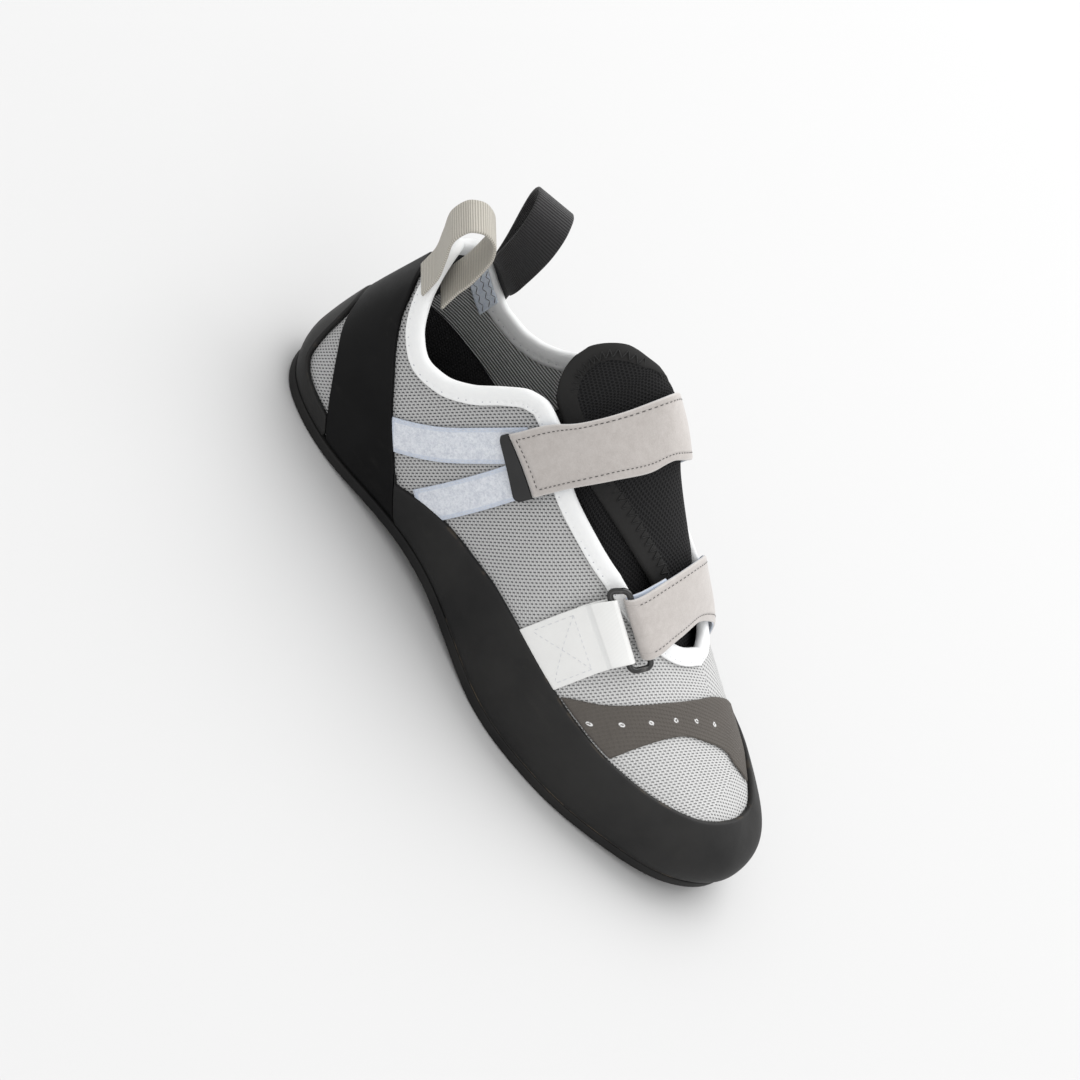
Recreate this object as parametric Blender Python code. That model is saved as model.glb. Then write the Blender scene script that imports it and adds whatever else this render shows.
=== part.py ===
# Climbing shoe for the right foot: hollow knitted upper on a curved last, rubber sole and rand,
# split tongue, two straps, wire ring and two pull loops. Tables are in millimetres.
import bpy
import numpy as np

MM = 0.001

# Driving dimensions of the last
LAST_LENGTH = 260.0
BALL_WIDTH = 93.0
INSTEP_HEIGHT = 104.0
HEEL_START = 2.5
CENTRE_X = 132.5
CENTRE_Y = -1.44

# Thicknesses and gaps
GAP = 0.3
SEAM = 0.7
WALL = 1.8
SOLE = 4.5
SOLE_LEDGE = 0.5
INSOLE = 2.0
RAND = (0.4, 2.4)
SLING = (0.4, 2.0)
BAND = (0.6, 1.1)
BAND_STEPS = (18, 5)
TONGUE_OVER = (-7.4, -5.6)
TONGUE_UNDER = (-10.2, -8.4)

# Sections of the last from heel to toe. Along and top_along are percent of the length, lateral, medial,
# top_side and top_half percent of the ball width, girth and top_rise percent of the instep height,
# fan is in degrees, leg, side_full and top_full are shares and tuck is in millimetres.
SECTION_COLUMNS = ("along", "lateral", "medial", "girth", "top_along", "top_side", "top_half",
                   "top_rise", "fan", "leg", "side_full", "top_full", "tuck")
SECTIONS = {
    "heel_back":  (0.0, 0.0, 0.0, 19.0, 3.5, 0.0, 0.0, 110, 90, 1.0, 0.35, 0.40, 4.5),
    "heel_turn":  (2.9, -20.4, 20.4, 19.0, 6.2, 0.0, 17.0, 110, 90, 1.0, 0.35, 0.40, 3.8),
    "heel_side":  (12.1, -31.4, 31.4, 19.5, 13.3, 0.5, 27.0, 110, 90, 1.0, 0.35, 0.40, 3.2),
    "heel_front": (23.7, -33.3, 31.0, 21.0, 23.7, 1.0, 26.0, 110, 90, 1.0, 0.35, 0.42, 3.2),
    "ankle_side": (28.3, -34.2, 30.4, 21.6, 29.3, 1.5, 24.0, 114, 90, 0.9, 0.36, 0.36, 3.2),
    "ankle":      (31.3, -35.0, 30.0, 22.0, 33.6, 2.0, 18.5, 117, 90, 0.6, 0.38, 0.27, 3.2),
    "instep_top": (34.4, -35.9, 30.1, 22.0, 36.5, 2.6, 10.0, 119, 90, 0.25, 0.42, 0.34, 3.0),
    "waist":      (37.5, -37.1, 30.6, 22.0, 37.5, 3.0, 0.0, 119, 90, 0.0, 0.45, 0.50, 2.8),
    "midfoot":    (49.0, -44.6, 36.5, 20.0, 49.0, 4.3, 0.0, 100, 90, 0.0, 0.50, 0.50, 2.8),
    "ball_outer": (62.5, -51.6, 45.7, 18.5, 62.5, 6.5, 0.0, 75, 90, 0.0, 0.55, 0.50, 2.0),
    "throat_end": (68.6, -50.5, 47.8, 17.5, 68.4, 7.6, 0.0, 62.5, 90, 0.0, 0.58, 0.50, 2.0),
    "ball_inner": (74.8, -47.3, 48.4, 16.5, 74.4, 8.6, 0.0, 54, 90, 0.0, 0.60, 0.50, 2.0),
    "toe_side":   (86.0, -36.3, 43.5, 16.0, 84.0, 10.2, 0.0, 42.5, 88, 0.0, 0.60, 0.50, 2.0),
    "toe_turn":   (94.8, -22.6, 33.9, 15.8, 89.8, 11.3, 0.0, 35.5, 70, 0.0, 0.60, 0.50, 2.0),
    "toe_front":  (99.2, -5.4, 21.5, 15.8, 92.5, 11.8, 0.0, 32.2, 40, 0.0, 0.60, 0.50, 2.0),
    "toe_tip":    (100.0, 8.6, 8.6, 15.8, 93.2, 11.8, 0.0, 31.2, 0, 0.0, 0.60, 0.50, 2.0),
}

# Underside of the sole: rise of the arch, toe spring and bevel of the heel
ARCH_RISE, ARCH_AT, ARCH_REACH, ARCH_TILT = 7.0, 96.0, 60.0, 0.004
TOE_SPRING, SPRING_FROM, SPRING_REACH = 7.5, 188.0, 77.0
HEEL_BEVEL, BEVEL_TO = 2.5, 16.0
EDGE_CHAMFER = 1.5

# Edge lines by station, the x of the widest line. Heights are above the floor, shares along a rib.
RAND_TOP = {
    "station": (66, 83, 94, 109, 123, 140, 160, 172, 198, 218, 235, 250, 262.7),
    "lateral": (20.5, 28.8, 32, 34.5, 36.5, 37, 36, 34.6, 32, 31.5, 32, 32.3, 31.4),
    "medial":  (20.5, 28.8, 32, 34.5, 36, 36.5, 36.5, 36, 35.5, 36.2, 36.4, 33.9, 31.4),
}
SLING_FRONT = {
    "station": (2.5, 10, 18, 29, 36, 48, 60, 68, 84),
    "height":  (75, 71, 63, 54, 48.5, 38, 28.5, 21.8, 5),
}
SLING_BACK = {
    "station": (2.5, 5, 8, 17, 32, 41),
    "height":  (44, 42, 38, 30.5, 14.5, 3),
}
HEEL_RAND_END = 29.0
HEEL_RAND_TOP = {
    "station": (2.5, 4.5, 6.5, 8.5, 11, 18, 32),
    "height":  (43, 41, 34, 23, 16, 13.5, 13),
}
COLLAR = {
    "station": (2.5, 9, 17, 29, 39, 48, 57, 65, 71, 77, 84, 97, 110, 123, 133, 145),
    "lateral": (88, 83, 75, 66, 62.5, 64.5, 71, 81.5, 89.5, 92.5, 91.5, 86, 80.6, 78, 76.5, 75),
    "medial":  (88, 85, 79, 72, 69, 69.5, 72.5, 78.5, 86, 91.5, 93, 90, 86, 83, 81, 78.5),
}
THROAT = {
    "station": (145, 154, 163, 172, 179, 183.5, 186.6),
    "lateral": (0.65, 0.682, 0.725, 0.785, 0.85, 0.915, 1.0),
    "medial":  (0.69, 0.718, 0.755, 0.805, 0.86, 0.92, 1.0),
}

# Tongue: top_rise of its arch behind the waist, where it closes over the opening, then the lower edge of its
# free flap and the rounded end, as a share that goes on past the ridge
TONGUE_CROWN = {"heel_back": 106, "heel_turn": 106, "heel_side": 108, "heel_front": 111.2,
                "ankle_side": 119.8, "ankle": 122.7, "instep_top": 124.6, "waist": 124.0}
FLAP_EDGE = {
    "station": (67, 67.8, 69.5, 72, 76, 84, 97, 110, 131, 152, 165, 176, 199),
    "height":  (110, 106, 102, 99, 96.5, 94, 90.5, 88, 86, 81, 74.5, 66, 52),
}
FLAP_END = {
    "station": (67, 67.8, 69.5, 72, 78, 85, 90, 94, 98, 102),
    "share":   (0.88, 0.92, 0.965, 1.0, 1.05, 1.10, 1.15, 1.24, 1.36, 1.48),
}
TOE_BAND = {
    "across": (0.0, 0.10, 0.29, 0.45, 0.71, 1.0),
    "rear":   (168.5, 181, 194.3, 202.2, 209.5, 214),
    "front":  (198, 201, 209, 221.5, 240, 248),
}

# Ribs of the mesh, by station on the outer side, and its rows as shares of a rib
RIB_STATIONS = (3.4, 6, 9, 12, 15.5, 19, 23, 29, 35, 41, 49, 57.5, 66, 70.5, 75, 79.5, 84, 88.5, 93,
                97.5, 102, 112, 122, 132, 142, 152.5, 163, 172, 179, 183.5, 186.6, 192, 199, 207, 215, 223,
                231, 238.5, 245, 251, 256, 259.6, 261.8)
TONGUE_STATIONS = (67, 67.8, 69.5, 72, 75, 79.5, 84, 88.5, 93, 97.5, 102, 112, 122, 132, 142, 152.5, 163, 172,
                   179, 186.6, 199)
ROWS = (0, 0.08, 0.15, 0.22, 0.31, 0.40, 0.49, 0.58, 0.67, 0.76, 0.85, 0.93, 1.0)
GIRTH_SHARE = 0.22
SHARE_STEP = 0.004
FEATHER_ANGLE = np.radians(30)
BOARD_COLUMNS = 2
THROAT_FRONT = 186.6
UNDER_FLAP_START = 84.0
TONGUE_TUCK = 0.16
TUCK_FROM = 0.9
FLAP_LAP = 0.12

# Straps: ties to the form by station, way across and depth, with the share of the form's bow they take.
# Across is 0 at the outer feather line, 1 on the ridge and 2 at the inner feather line.
STRAP_UPPER = {"station": (102, 107, 111, 114.2, 115.6, 113.2, 107.8, 101, 95.8, 91.8, 88.2),
               "across": (1.555, 1.465, 1.37, 1.25, 1.10, 0.925, 0.79, 0.685, 0.61, 0.555, 0.508),
               "depth": (1.3, 3.0, 3.5, 3.1, 2.7, 2.7, 3.3, 4.3, 4.1, 3.6, 2.8),
               "bow": (1, 1, 0.8, 0.6, 0.5, 0.5, 0.5, 0.4, 0.3, 0.2, 0.1)}
STRAP_LOWER = {"station": (175, 170, 166, 164.5, 163, 159.5, 153),
               "across": (1.56, 1.30, 1.0, 0.80, 0.68, 0.60, 0.37),
               "depth": (1.2, 3.4, 2.8, 4.6, 5.2, 5.0, 0.95),
               "bow": (1, 1, 1, 0.5, 0, 0, 1)}
PATCH_UPPER = {"station": (55, 68, 79), "across": (0.34, 0.45, 0.565), "depth": (0.8, 0.8, 0.8),
               "bow": (1, 1, 1)}
PATCH_LOWER = {"station": (84.5, 88, 91.5), "across": (0.305, 0.37, 0.445), "depth": (0.8, 0.8, 0.8),
               "bow": (1, 1, 1)}
RING_TIE = 4
STRAP_WIDTH = 25.0
STRAP = 1.4
STRAP_STEP = 6.0
STRAP_RISE = 18.0
PATCH_WIDTH = 13.5
PATCH = 0.7
TAB_LENGTH = 6.0
TAB_LIFT = 0.4
TAB_SHAPE = {"run": (0.35, 2.4, 4.2, 5.2, 5.8), "wider": (0.6, 0.6, 0.6, -0.4, -2.6)}
TAB = 2.2
RING_WIRE = 1.2
RING_HIGH = 8.0
RING_WIDE = 32.0
RING_CORNER = 2.4
RING_TAB_WIDTH = 25.5
RING_TAB = 0.9
STRAP_TURN_BACK = {"run": (6.0, 12.0, 17.0), "lift": (-2.0, -1.85, -1.8)}
TAB_TURN_BACK = {"run": (13.0, 6.0), "lift": (-1.3, -1.5)}
LOOP = 1.3
LOOP_STEPS = 25

# Pull loops: section through a loop, out from the wall and up from the collar edge as shares of its height.
# The turn about the upright grows from the collar to the loop's top, and the tilt along the collar fades.
LOOP_SECTIONS = {
    "pull_loop_lateral": {
        "out": (3.6, 3.2, 5.8, 8.5, 6.0, 0.0, -6.5, -9.5, -9.0, -7.2, -6.4),
        "up":  (-0.22, 0.05, 0.38, 0.68, 0.92, 1.0, 0.90, 0.64, 0.30, 0.02, -0.25),
    },
    "pull_loop_medial": {
        "out": (5.7, 5.2, 7.2, 6.6, 1.0, -5.0, -11.5, -15.0, -13.0, -5.0, 0.5, 3.0, 3.6),
        "up":  (-0.16, 0.03, 0.40, 0.74, 0.95, 1.0, 0.93, 0.70, 0.38, 0.17, 0.095, 0.01, -0.10),
    },
}
PULL_LOOPS = {
    "pull_loop_lateral": {"side": -1, "station": 9.0, "height": 29.0, "width": 16.0, "lean": (-0.16, 0.05),
                          "turn": 0.0, "tilt": 0.0},
    "pull_loop_medial":  {"side": 1, "station": 26.0, "height": 43.0, "width": 17.5, "lean": (-0.24, 0.04),
                          "turn": 12.0, "tilt": -0.5},
}

# Finishes: colour, roughness, metallic
FINISHES = {
    "rubber_black":  ((0.030, 0.030, 0.032), 0.72, 0.0),
    "rubber_band":   ((0.014, 0.014, 0.015), 0.62, 0.0),
    "knit_grey":     ((0.42, 0.42, 0.42), 0.90, 0.0),
    "overlay_taupe": ((0.125, 0.112, 0.100), 0.85, 0.0),
    "binding_white": ((0.82, 0.82, 0.80), 0.85, 0.0),
    "mesh_black":    ((0.016, 0.016, 0.016), 0.95, 0.0),
    "suede_grey":    ((0.58, 0.56, 0.54), 0.90, 0.0),
    "patch_pale":    ((0.66, 0.69, 0.75), 0.95, 0.0),
    "label_black":   ((0.018, 0.018, 0.018), 0.60, 0.0),
    "ring_black":    ((0.045, 0.045, 0.045), 0.35, 0.7),
    "webbing_beige": ((0.52, 0.49, 0.43), 0.80, 0.0),
    "webbing_black": ((0.020, 0.019, 0.020), 0.75, 0.0),
    "board_dark":    ((0.045, 0.045, 0.045), 0.90, 0.0),
}


# Curves through tables

def hermite(k, v, slope, at):
    # Cubic pieces with given slopes at the knots, held level past the ends
    at = np.clip(at, k[0], k[-1])
    i = np.clip(np.searchsorted(k, at, side="right") - 1, 0, len(k) - 2)
    step = k[i + 1] - k[i]
    t = (at - k[i]) / step
    ends = (1 + 2 * t) * (1 - t) ** 2 * v[i] + t * t * (3 - 2 * t) * v[i + 1]
    return ends + step * t * (1 - t) * ((1 - t) * slope[i] - t * slope[i + 1])


def smooth(knots, values, at):
    # Monotone cubic through the knots
    k = np.asarray(knots, float)
    v = np.asarray(values, float)
    step = np.diff(k)
    slope = np.diff(v) / step
    before, after = slope[:-1], slope[1:]
    w1 = 2 * step[1:] + step[:-1]
    w2 = step[1:] + 2 * step[:-1]
    turning = before * after <= 0
    mean = (w1 + w2) * before * after / np.where(turning, 1.0, w1 * after + w2 * before)
    inner = np.where(turning, 0.0, mean)
    return hermite(k, v, np.concatenate([slope[:1], inner, slope[-1:]]), at)


def flowing(k, v, at):
    # Rounded cubic through the knots, with the slope of the parabola through each three
    step = np.diff(k)
    slope = np.diff(v) / step
    inner = (step[1:] * slope[:-1] + step[:-1] * slope[1:]) / (step[1:] + step[:-1])
    ends = 2 * slope[[0, -1]] - inner[[0, -1]]
    return hermite(k, v, np.concatenate([ends[:1], inner, ends[1:]]), at)


def closed_spline(knots, period, values, at):
    # Periodic cubic spline, smooth in its second derivative
    n = len(knots)
    h = np.diff(np.append(knots, knots[0] + period))
    matrix = np.zeros((n, n))
    right = np.zeros(n)
    for i in range(n):
        p, q = i - 1, (i + 1) % n
        matrix[i, p] += h[p]
        matrix[i, i] += 2 * (h[p] + h[i])
        matrix[i, q] += h[i]
        right[i] = 6 * ((values[q] - values[i]) / h[i] - (values[i] - values[p]) / h[p])
    bend = np.linalg.solve(matrix, right)
    at = np.mod(at - knots[0], period) + knots[0]
    i = np.clip(np.searchsorted(knots, at, side="right") - 1, 0, n - 1)
    q = (i + 1) % n
    u = at - knots[i]
    w = h[i] - u
    cubic = (bend[i] * w ** 3 + bend[q] * u ** 3) / (6 * h[i])
    return cubic + (values[i] / h[i] - bend[i] * h[i] / 6) * w + (values[q] / h[i] - bend[q] * h[i] / 6) * u


def unit(v):
    return v / (np.linalg.norm(v, axis=-1, keepdims=True) + 1e-12)


# The form of the last. c runs round the shoe, up the outer side and back down the inner side, t runs up
# a rib from the feather line to the ridge, and d is the distance out from the upper's outer face.

PERCENT_OF = {"along": LAST_LENGTH, "top_along": LAST_LENGTH, "lateral": BALL_WIDTH, "medial": BALL_WIDTH,
              "top_side": BALL_WIDTH, "top_half": BALL_WIDTH, "girth": INSTEP_HEIGHT,
              "top_rise": INSTEP_HEIGHT}


def section_column(name):
    values = np.array([row[SECTION_COLUMNS.index(name)] for row in SECTIONS.values()], float)
    if name in PERCENT_OF:
        values *= PERCENT_OF[name] / 100
    if name in ("along", "top_along"):
        values += HEEL_START
    if name == "fan":
        values = np.radians(values)
    return values


LAST = {name: section_column(name) for name in SECTION_COLUMNS}
SIDE_STEPS = [np.hypot(np.diff(LAST["along"]), np.diff(LAST[side])) for side in ("lateral", "medial")]
KNOTS = np.concatenate([[0], np.cumsum((SIDE_STEPS[0] + SIDE_STEPS[1]) / 2)])
HALF = KNOTS[-1]
LOOP_KNOTS = np.concatenate([KNOTS, 2 * HALF - KNOTS[-2:0:-1]])
LOOP_X = np.concatenate([LAST["along"], LAST["along"][-2:0:-1]])
LOOP_Y = np.concatenate([LAST["lateral"], LAST["medial"][-2:0:-1]])


def tongue_form():
    # The last with its ankle opening closed by an arch like that of the waist
    rear = len(TONGUE_CROWN)
    waist = rear - 1
    form = {name: values.copy() for name, values in LAST.items()}
    form["top_along"][:rear] = form["along"][:rear]
    form["top_rise"][:rear] = np.array(list(TONGUE_CROWN.values())) * INSTEP_HEIGHT / 100
    for name in ("top_half", "leg", "side_full", "top_full"):
        form[name][:rear] = form[name][waist]
    return form


TONGUE_FORM = tongue_form()


def sole_bottom(x, y):
    near = np.clip((x - ARCH_AT) / ARCH_REACH, -1, 1)
    arch = ARCH_RISE * (0.5 + 0.5 * np.cos(np.pi * near)) * (1 + ARCH_TILT * y)
    toe = TOE_SPRING * np.clip((x - SPRING_FROM) / SPRING_REACH, 0, 1) ** 2
    heel = HEEL_BEVEL * np.clip((BEVEL_TO - x) / BEVEL_TO, 0, 1) ** 2
    return arch + toe + heel


def outline(c):
    return np.stack([closed_spline(LOOP_KNOTS, 2 * HALF, LOOP_X, c),
                     closed_spline(LOOP_KNOTS, 2 * HALF, LOOP_Y, c)], -1)


def outward(c):
    ahead = unit(outline(c + 0.5) - outline(c - 0.5))
    return np.stack([ahead[..., 1], -ahead[..., 0]], -1)


def ridge(s, form):
    s = np.clip(s, 0, HALF)
    return np.stack([smooth(KNOTS, form[name], s) for name in ("top_along", "top_side", "top_rise")], -1)


def wall(c, t, d, form=LAST):
    c, t, d = np.broadcast_arrays(np.asarray(c, float), np.asarray(t, float), np.asarray(d, float))
    c = np.mod(c, 2 * HALF)
    over = t > 1
    c = np.where(over, 2 * HALF - c, c)
    t = np.where(over, 2 - t, t)
    s = np.where(c <= HALF, c, 2 * HALF - c)
    side = np.where(c <= HALF, -1.0, 1.0)
    last = {name: smooth(KNOTS, form[name], s) for name in SECTION_COLUMNS[3:]}
    none = np.zeros_like(s)
    out = outward(c)
    line = outline(c)
    away = d[..., None]
    girth = np.concatenate([line + out * away, last["girth"][..., None]], -1)
    under = line + out * (away - last["tuck"][..., None])
    seat = sole_bottom(under[..., 0], under[..., 1]) + SOLE + GAP
    feather = np.concatenate([under, seat[..., None]], -1)
    along = unit(ridge(s + 0.5, form) - ridge(s - 0.5, form))
    up = unit(np.stack([-along[..., 2], none, along[..., 0]], -1))
    across = np.stack([none, side, none], -1)
    fan = last["fan"][..., None]
    leg = last["leg"][..., None]
    handle = unit((1 - leg) * unit(np.cos(fan) * along + np.sin(fan) * across) + leg * np.array([0, 0, -1.0]))
    top = ridge(s, form) + across * last["top_half"][..., None]
    top = top + away * ((1 - leg) * up + leg * np.concatenate([out, none[..., None]], -1))
    span = np.linalg.norm((girth - top)[..., :2], axis=-1)
    rise = top[..., 2] - girth[..., 2]
    reach = last["top_full"] * ((1 - last["leg"]) * span + last["leg"] * rise)
    lift = np.stack([none, none, last["side_full"] * rise], -1)
    turn = FEATHER_ANGLE + (np.pi / 2 - FEATHER_ANGLE) * np.clip(t / GIRTH_SHARE, 0, 1)
    inward = ((1 - np.sin(turn)) / (1 - np.sin(FEATHER_ANGLE)))[..., None]
    down = (np.cos(turn) / np.cos(FEATHER_ANGLE))[..., None]
    low = girth + (feather - girth) * np.concatenate([inward, inward, down], -1)
    g = np.clip((t - GIRTH_SHARE) / (1 - GIRTH_SHARE), 0, 1)[..., None]
    high = ((1 - g) ** 3 * girth + 3 * g * (1 - g) ** 2 * (girth + lift)
            + 3 * g * g * (1 - g) * (top + handle * reach[..., None]) + g ** 3 * top)
    return np.where((t < GIRTH_SHARE)[..., None], low, high)


FINE = np.linspace(0, 1, 161)
FINE_LOOP = np.linspace(0, HALF, 1201)
FINE_STATION = outline(FINE_LOOP)[:, 0]


def way_at(station):
    # Distance round the loop, from the heel, of a station on the outer side
    return np.interp(station, FINE_STATION, FINE_LOOP)


def station_of(c):
    c = np.mod(c, 2 * HALF)
    return np.interp(np.where(c <= HALF, c, 2 * HALF - c), FINE_LOOP, FINE_STATION)


def share_at(c, height, form=LAST):
    # Share along each rib where it reaches the height
    c = np.asarray(c, float)
    height = np.broadcast_to(np.asarray(height, float), c.shape)
    heights = np.maximum.accumulate(wall(c[:, None], FINE[None], 0.0, form)[..., 2], axis=1)
    return np.array([np.interp(h, column, FINE) for h, column in zip(height, heights)])


def sided(table, c):
    # Value of a table with a lateral and a medial column at each place of the loop
    station = station_of(c)
    lateral = smooth(table["station"], table["lateral"], station)
    medial = smooth(table["station"], table["medial"], station)
    return np.where(np.mod(c, 2 * HALF) <= HALF, lateral, medial)


def level(table, c):
    return smooth(table["station"], table["height"], station_of(c))


def edge_share(c):
    # Upper edge of the upper: collar by height, throat by share, closed over the ridge in front
    station = station_of(c)
    collar = share_at(c, sided(COLLAR, c))
    throat = sided(THROAT, c)
    return np.where(station < COLLAR["station"][-1], collar, np.where(station < THROAT_FRONT, throat, 1.0))


def wrap(c, t):
    over = t > 1
    return np.where(over, 2 * HALF - c, c), np.where(over, 2 - t, t)


def slopes(c, t):
    # Change of the form per millimetre round the loop and per share up a rib
    along = wall(c + 0.5, t, 0.0) - wall(c - 0.5, t, 0.0)
    upward = (wall(c, t + SHARE_STEP, 0.0) - wall(c, t - SHARE_STEP, 0.0)) / (2 * SHARE_STEP)
    return along, upward


def above(c, t, height):
    # Point at a height over the form, square to it
    along, upward = slopes(c, t)
    return wall(c, t, 0.0) + unit(np.cross(along, upward)) * np.asarray(height)[..., None]


def walk(c, t, move):
    # Place on the form reached by a short move in space, in two steps
    for _ in range(2):
        along, upward = slopes(c, t)
        a, b, e = (along * along).sum(-1), (along * upward).sum(-1), (upward * upward).sum(-1)
        p, q = (along * move / 2).sum(-1), (upward * move / 2).sum(-1)
        det = a * e - b * b
        c, t = wrap(c + (e * p - b * q) / det, t + (a * q - b * p) / det)
    return c, t


# Meshes

def material(name):
    colour, roughness, metallic = FINISHES[name]
    made = bpy.data.materials.get(name) or bpy.data.materials.new(name)
    made.use_nodes = True
    shader = made.node_tree.nodes["Principled BSDF"]
    shader.inputs["Base Color"].default_value = (*colour, 1.0)
    shader.inputs["Roughness"].default_value = roughness
    shader.inputs["Metallic"].default_value = metallic
    return made


def add_piece(name, points, faces, finish):
    placed = (np.asarray(points) - np.array([CENTRE_X, CENTRE_Y, 0.0])) * MM
    mesh = bpy.data.meshes.new(name)
    mesh.from_pydata(placed.tolist(), [], faces)
    mesh.materials.append(material(finish))
    mesh.shade_smooth()
    mesh.set_sharp_from_angle(angle=np.radians(40))
    piece = bpy.data.objects.new(name, mesh)
    bpy.context.scene.collection.objects.link(piece)
    return piece


def grid_faces(rows, columns, first=0):
    return [(first + i * columns + j, first + (i + 1) * columns + j,
             first + (i + 1) * columns + j + 1, first + i * columns + j + 1)
            for i in range(rows - 1) for j in range(columns - 1)]


def tube_faces(rings, sides):
    # Closed tube: each ring joins the next, and the last the first
    return [(i * sides + j, (i + 1) % rings * sides + j,
             (i + 1) % rings * sides + (j + 1) % sides, i * sides + (j + 1) % sides)
            for i in range(rings) for j in range(sides)]


def thick_sheet(name, outer, inner, faces, finish):
    # Solid between an outer sheet and its inner copy, with a rim along every open edge
    _, first, index = np.unique(np.round(outer, 3), axis=0, return_index=True, return_inverse=True)
    index = index.reshape(-1)
    count = len(first)
    skin = []
    for face in faces:
        ring = [int(index[k]) for k in face]
        ring = [k for n, k in enumerate(ring) if k != ring[n - 1]]
        if len(set(ring)) > 2:
            skin.append(tuple(ring))
    edges = {(ring[n - 1], k) for ring in skin for n, k in enumerate(ring)}
    rim = [(b, a, a + count, b + count) for a, b in sorted(edges) if (b, a) not in edges]
    back = [tuple(k + count for k in reversed(ring)) for ring in skin]
    points = np.concatenate([outer[first], inner[first]])
    return add_piece(name, points, skin + back + rim, finish)


def form_patch(name, spans, depth, finish, form=LAST):
    # Piece of the form between two depths. Each span holds its ribs and its lowest and highest shares.
    outer, inner, faces = [], [], []
    for c, low, high in spans:
        shares = np.clip(np.array(ROWS)[None], low[:, None], np.maximum(high, low)[:, None])
        first = sum(len(part) for part in outer)
        faces += grid_faces(len(c), len(ROWS), first)
        outer.append(wall(c[:, None], shares, depth[1], form).reshape(-1, 3))
        inner.append(wall(c[:, None], shares, depth[0], form).reshape(-1, 3))
    return thick_sheet(name, np.concatenate(outer), np.concatenate(inner), faces, finish)


RIBS = np.concatenate([[0.0], way_at(np.array(RIB_STATIONS)), [HALF]])


def side_ribs(first, last, side):
    # Ribs of one side between two stations, in the order of the loop
    near = 0.01
    ways = RIBS[(RIBS >= way_at(first) - near) & (RIBS <= way_at(last) + near)]
    return ways if side < 0 else 2 * HALF - ways[::-1]


def round_toe(station):
    tip = FINE_STATION[-1]
    return np.concatenate([side_ribs(station, tip, -1), side_ribs(station, tip, 1)[1:]])


def round_heel(station):
    back = FINE_STATION[0]
    return np.concatenate([side_ribs(back, station, 1), 2 * HALF + side_ribs(back, station, -1)[1:]])


# Upper and rubber

def make_upper():
    c = np.concatenate([RIBS, 2 * HALF - RIBS[-2::-1]])
    form_patch("upper", [(c, np.zeros(len(c)), edge_share(c))], (-WALL, 0.0), "knit_grey")


def make_rand():
    c = round_toe(RAND_TOP["station"][0])
    seam = share_at(c, level(SLING_FRONT, c) + SEAM)
    low = np.where(station_of(c) < SLING_FRONT["station"][-1] - 0.1, seam, 0.0)
    high = np.maximum(share_at(c, sided(RAND_TOP, c)), low)
    form_patch("rand", [(c, low, high)], RAND, "rubber_black")


def make_slingshot():
    c = round_heel(SLING_FRONT["station"][-1])
    low = np.where(station_of(c) < SLING_BACK["station"][-1], share_at(c, level(SLING_BACK, c)), 0.0)
    high = share_at(c, level(SLING_FRONT, c))
    form_patch("slingshot", [(c, low, high)], SLING, "rubber_band")


def make_heel_rand():
    c = round_heel(HEEL_RAND_END)
    top = np.minimum(level(HEEL_RAND_TOP, c), level(SLING_BACK, c) - SEAM)
    form_patch("heel_rand", [(c, np.zeros(len(c)), share_at(c, top))], RAND, "rubber_black")


def cross_board(name, depth, bottom, top, chamfer, finish):
    # Board across the shoe: its outline at a depth of the form, with a top, a bottom and a chamfered edge
    ways = RIBS
    across = np.linspace(0, 1, BOARD_COLUMNS)[None, :, None]

    def layer(inset, height):
        outer_side = wall(ways, 0.0, depth - inset)[:, None, :]
        inner_side = wall(2 * HALF - ways, 0.0, depth - inset)[:, None, :]
        points = outer_side + (inner_side - outer_side) * across
        points[..., 2] = height(points[..., 0], points[..., 1])
        return points

    upper_layer = layer(0.0, top)
    lower_layer = layer(chamfer, bottom)
    edge_layer = layer(0.0, lambda x, y: bottom(x, y) + chamfer)
    last = BOARD_COLUMNS - 1
    loop = [(i, 0) for i in range(len(ways))] + [(i, last) for i in range(len(ways) - 2, 0, -1)]
    grids = [upper_layer, lower_layer, edge_layer]
    size = len(ways) * BOARD_COLUMNS
    points = np.concatenate([g.reshape(-1, 3) for g in grids])
    _, first, index = np.unique(np.round(points, 3), axis=0, return_index=True, return_inverse=True)
    index = index.reshape(-1)
    rows = grid_faces(len(ways), BOARD_COLUMNS)
    faces = list(rows)
    faces += [tuple(k + size for k in reversed(face)) for face in rows]
    flat = [i * BOARD_COLUMNS + j for i, j in loop]
    for a, b in zip(flat, flat[1:] + flat[:1]):
        faces.append((b, a, a + 2 * size, b + 2 * size))
        faces.append((b + 2 * size, a + 2 * size, a + size, b + size))
    skin = []
    for face in faces:
        ring = [int(index[k]) for k in face]
        ring = [k for n, k in enumerate(ring) if k != ring[n - 1]]
        if len(set(ring)) > 2:
            skin.append(tuple(ring))
    add_piece(name, points[first], skin, finish)


def make_soles():
    cross_board("outsole", RAND[1] + SOLE_LEDGE, sole_bottom,
                lambda x, y: sole_bottom(x, y) + SOLE, EDGE_CHAMFER, "rubber_black")
    cross_board("insole", -WALL - 2 * GAP, lambda x, y: sole_bottom(x, y) + SOLE + GAP,
                lambda x, y: sole_bottom(x, y) + SOLE + GAP + INSOLE, GAP, "board_dark")


# Binding, tongue and overlay

BINDING_SECTION = {
    "down":  (6.8, 6.8, 0.0, -1.2, -1.2, 0.0, 6.8, 6.8, -0.45, -0.45),
    "depth": (0.65, 1.3, 1.3, 0.4, -2.1, -2.8, -2.8, -2.25, -2.25, 0.65),
}


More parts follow.
